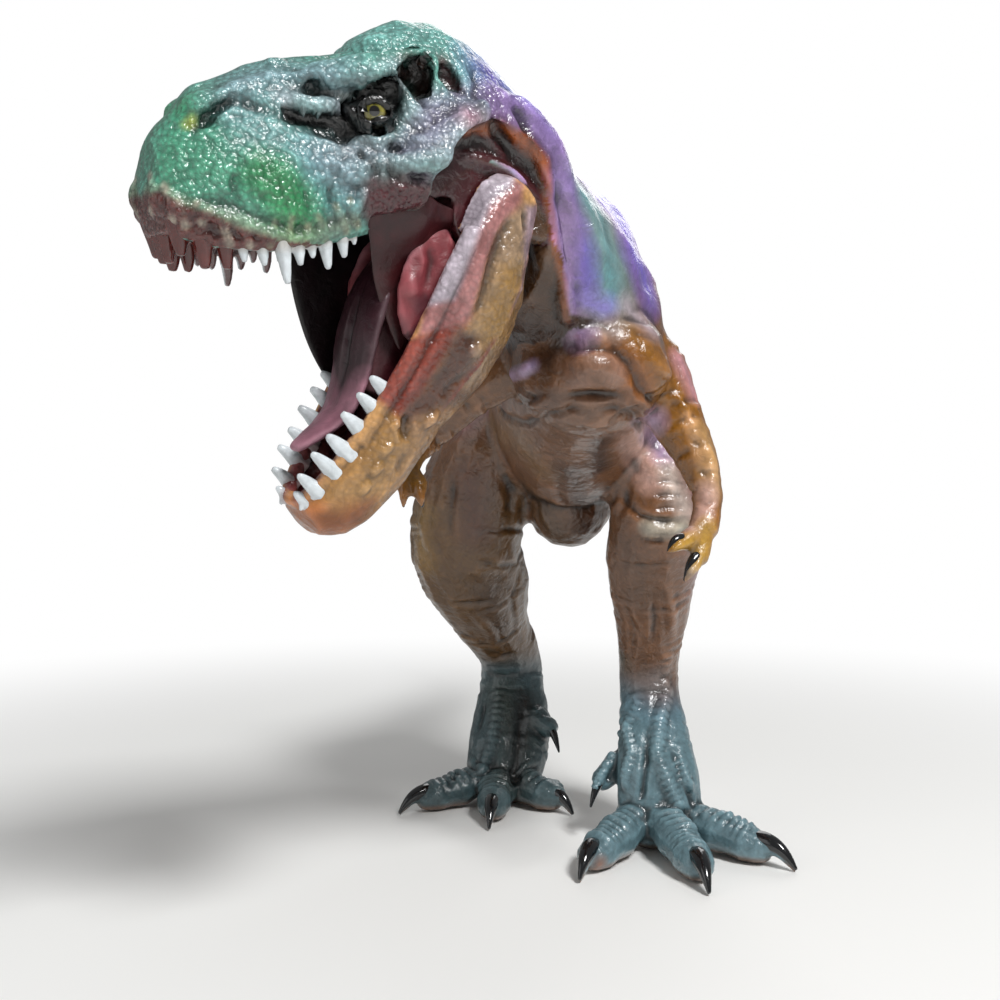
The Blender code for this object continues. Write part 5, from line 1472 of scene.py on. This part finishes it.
def archAt(arch, y):
    # the point of one half of a gum line at a place along the jaw
    for before, after in zip(arch[1:], arch[2:]):
        if before[1] <= y <= after[1]:
            share = (y - before[1]) / max(after[1] - before[1], 1e-6)
            return Vector(before).lerp(Vector(after), share)
    return Vector(arch[1]).lerp(Vector(arch[0]), min((arch[1][1] - y) / 0.3, 0.8))


def tooth(placing, root, up, side, length, radius, lean=0.12):
    way = Vector((side * lean, 0.06, up)).normalized()
    bow = Vector((-side * 0.25, 0.15, 0))
    stops = [root - way * 1.2, root + way * 0.1 * length, root + way * 0.45 * length + bow,
             root + way * 0.8 * length + bow, root + way * length]
    return cord([placing(*stop) for stop in stops],
                [radius * share for share in teethSizes["taper"]])


def makeTeeth(name, items, node, body, colour, roots=(), rootColour=None):
    item = joined(name, items)
    remeshed(item, 0.3, 2)
    shape = openShape(item, teethColours[colour])
    for root in roots:
        spray(shape, [root], 2.4, teethColours[rootColour], 0.9)
    if body == "figure":
        across = localTo(headTurn, shape["points"])[:, 0]
        inward = -(shape["normals"] @ np.array(headTurn))[:, 0] * np.sign(across)
        tint(shape, smoothStep(inward, 0.2, 0.6) * 0.9, teethColours["inner"])
    shape["pebble"][:] = 0.05
    shape["paint"] *= (1 + 0.10 * softNoise(shape["points"], 1.6, 61))[:, None]
    finishShape(shape, vinyl["tooth"])
    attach(item, body)
    if node:
        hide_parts(node)


def makeUpperTeeth():
    items, roots, dark = [], [], []
    for side in (-1, 1):
        for y, length, radius in teethSizes["upper"]:
            root = archAt(upperArch, y)
            root.x *= side
            items.append(tooth(headPlace, root, -1, side, length, radius))
            roots.append(headPlace(*(root + Vector((0, 0, 0.4)))))
        for index, (y, length, radius) in enumerate(teethSizes["upperDark"]):
            root = archAt(upperArch, y)
            root.x = side * (root.x if index < 3 else 1.7)
            root += Vector((-side * 0.4, 0.4, 1.0))
            dark.append(tooth(headPlace, root, -1, side, length, radius, 0.02))
    makeTeeth("upperTeeth", items, "upper_teeth", "figure", "ivory", roots, "upperRoot")
    makeTeeth("upperFrontTeeth", dark, None, "figure", "dark")


def makeLowerTeeth():
    items, roots = [], []
    for side in (-1, 1):
        for y, length, radius in teethSizes["lower"]:
            root = archAt(lowerArch, y)
            root.x *= side
            items.append(tooth(jawPlace, root, 1, side, length, radius, 0.05))
            gum = [(side * 0.5, 1.9, -0.2), (0, 0, 0.9), (side * 0.5, -1.9, -0.2)]
            items.append(cord([jawPlace(*(root + Vector(shift))) for shift in gum],
                              [0.35, 0.8, 0.35]))
            roots.append(jawPlace(*(root + Vector((-side * 1.2, 0, -0.4)))))
    makeTeeth("lowerTeeth", items, "lower_teeth", "jaw", "ivory", roots, "lowerRoot")


makeUpperTeeth()
makeLowerTeeth()
print("teeth made")


# claws, eyes and the pin

clawSizes = {"leftClaws": [((16.6, -52.6, 4.6), (12.6, -61.8, 0.9), 2.3),
                           ((40.5, -59.4, 4.6), (41.5, -69.8, 0.6), 2.4),
                           ((57.6, -47.1, 4.6), (65.6, -54.0, 0.6), 2.3),
                           ((21.6, -25.8, 15.4), (17.7, -31.8, 9.4), 1.5)],
             "rightClaws": [((-26.2, -1.8, 4.6), (-34.8, -6.9, 0.6), 2.2),
                            ((-8.1, -11.4, 4.6), (-9.0, -21.4, 0.6), 2.2),
                            ((8.4, -2.2, 4.6), (14.8, -7.8, 0.6), 2.1),
                            ((8.6, 11.4, 21.4), (11.6, 6.6, 14.8), 1.5)],
             "leftNails": [((32.0, -90.7, 81.2), (28.4, -93.2, 79.4), 1.2),
                           ((35.5, -89.7, 77.7), (31.9, -92.7, 73.2), 1.35)],
             "rightNails": [((-26.0, -89.7, 93.2), (-26.0, -91.2, 88.4), 1.2),
                            ((-23.0, -89.2, 92.7), (-22.0, -91.2, 88.4), 1.2)],
             "bow": 2.3, "taper": (0.9, 1.1, 0.95, 0.6, 0.2)}


def makeClaws(name):
    items = []
    for start, tip, radius in clawSizes[name]:
        start, tip = Vector(start), Vector(tip)
        way = (tip - start).normalized()
        lift = Vector((0, 0, clawSizes["bow"] * radius / 1.7))
        stops = [start - way * 1.5, start + lift * 0.5, start.lerp(tip, 0.4) + lift,
                 start.lerp(tip, 0.75) + lift * 0.8, tip]
        items.append(cord(stops, [radius * share for share in clawSizes["taper"]], rounding=4))
    item = joined(name, items)
    remeshed(item, 0.25, 2)
    for vertex in item.data.vertices:
        vertex.co.z = max(vertex.co.z, floorGap * mm)
    item.data.materials.append(clawFinish)
    item.data.shade_smooth()
    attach(item, "figure")


clawFinish = plainMaterial("clawPaint", "#0E1013", 0.14, 0.8)[0]  # black gloss, mirrors the lamps
for name in ("leftClaws", "rightClaws", "leftNails", "rightNails"):
    makeClaws(name)

eyeSizes = {
    "left_eye": 1, "right_eye": -1, "pupil": (2.4, -1.2, 0.1), "ball": 3.2,
    "rings": [(0.0, "#060504"), (0.25, "#060504"), (0.31, "#6E6A28"), (0.46, "#8C853C"),
              (0.60, "#5A5220"), (0.72, "#15120C"), (1.0, "#15120C")],
}


def eyeMaterial(name, centre):
    # painted eye under clear gloss: an olive ring round a black pupil
    material, tree, shader = plainMaterial(name, "#8A7A2A", 0.07, 1.0)
    place = addNode(tree, "ShaderNodeTexCoord")
    gap = addNode(tree, "ShaderNodeVectorMath", {0: place.outputs["Object"]}, operation="SUBTRACT")
    gap.inputs[1].default_value = centre
    reach = addNode(tree, "ShaderNodeVectorMath", {0: gap.outputs["Vector"]}, operation="LENGTH")
    share = addNode(tree, "ShaderNodeMath", {0: reach.outputs["Value"]}, operation="MULTIPLY")
    share.inputs[1].default_value = 1 / (eyeSizes["ball"] * mm)
    ramp = addNode(tree, "ShaderNodeValToRGB", {"Fac": share.outputs["Value"]})
    stops = ramp.color_ramp.elements
    stops.remove(stops[-1])
    for spot, colour in eyeSizes["rings"]:
        stop = stops.new(spot) if spot else stops[0]
        stop.color = (*linear(colour), 1)
    link(tree, shader, {"Base Color": ramp.outputs["Color"]})
    return material


def dressNode(node, material):
    data = frame["nodes"][node].data
    data.materials.clear()
    data.materials.append(material)


for node in ("left_eye", "right_eye"):
    low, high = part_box(node)
    x, y, z = eyeSizes["pupil"]
    pupil = (low + high) / 2 + headTurn @ Vector((eyeSizes[node] * x, y, z)) * mm
    dressNode(node, eyeMaterial(node.split("_")[0] + "EyeGloss", pupil))
dressNode("jaw_pin", plainMaterial("pinPlastic", "#4A4A4C", 0.45)[0])  # plain unpainted plastic
print("claws and eyes made")


# the studio

studio = {
    "floor": "#F2F2F0", "floorFade": (0.10, 0.42), "world": 0.22, "aim": (0, 0, 0.09),
    # place, size and power of each lamp
    "keyLight": ((0.34, -0.55, 0.75), 0.22, 7.4),
    "fillLight": ((-0.7, -0.45, 0.35), 0.6, 0.9),
    "backLight": ((0.2, 0.8, 0.7), 0.6, 2.4),
}


def mixInto(output, tree, share, first, second):
    mix = addNode(tree, "ShaderNodeMixShader", {"Fac": share, 1: first, 2: second})
    link(tree, tree.nodes[output], {"Surface": mix.outputs["Shader"]})


def makeFloor():
    # pale and matt, and plain white for the camera away from the figure
    bpy.ops.mesh.primitive_plane_add(size=6)
    floor = bpy.context.object
    floor.name = "floor"
    material, tree, shader = plainMaterial("paleFloor", studio["floor"], 0.9)
    shader.inputs["Specular IOR Level"].default_value = 0.1
    place = addNode(tree, "ShaderNodeTexCoord")
    reach = addNode(tree, "ShaderNodeVectorMath", {0: place.outputs["Object"]}, operation="LENGTH")
    fade = remap(tree, reach.outputs["Value"], *studio["floorFade"], 0, 1)
    fade.interpolation_type = "SMOOTHSTEP"
    ray = addNode(tree, "ShaderNodeLightPath")
    seen = multiplied(tree, fade.outputs["Result"], ray.outputs["Is Camera Ray"])
    glow = addNode(tree, "ShaderNodeEmission")
    mixInto("Material Output", tree, seen, shader.outputs["BSDF"], glow.outputs["Emission"])
    floor.data.materials.append(material)


def makeLights():
    for name in ("keyLight", "fillLight", "backLight"):
        place, size, power = studio[name]
        light = bpy.data.lights.new(name, "AREA")
        light.size = size
        light.energy = power
        lamp = newObject(name, light)
        lamp.location = place
        way = Vector(studio["aim"]) - Vector(place)
        lamp.rotation_euler = way.to_track_quat("-Z", "Y").to_euler()


def makeWorld():
    # a soft grey fill that the camera sees as white
    world = bpy.data.worlds.new("studio")
    bpy.context.scene.world = world
    world.use_nodes = True
    tree = world.node_tree
    back = tree.nodes["Background"]
    back.inputs["Color"].default_value = (1, 1, 1, 1)
    back.inputs["Strength"].default_value = studio["world"]
    ray = addNode(tree, "ShaderNodeLightPath")
    rays = {0: ray.outputs["Is Camera Ray"], 1: ray.outputs["Is Transmission Ray"]}
    seen = addNode(tree, "ShaderNodeMath", rays, operation="MAXIMUM").outputs["Value"]
    white = addNode(tree, "ShaderNodeBackground", Color=(1, 1, 1, 1), Strength=1.0)
    mixInto("World Output", tree, seen, back.outputs["Background"], white.outputs["Background"])


def makeCamera():
    camera = bpy.data.cameras.new("photoCamera")
    camera.lens = photoCamera["lens"]
    camera.sensor_width = 36
    camera.clip_start = 0.01
    view = newObject("photoCamera", camera)
    view.location = Vector(photoCamera["eye"]) * mm
    view.rotation_euler = (math.radians(90), 0, 0)
    bpy.context.scene.camera = view
    bpy.context.scene.view_settings.view_transform = "Standard"


makeFloor()
makeLights()
makeWorld()
makeCamera()
print("studio ready")
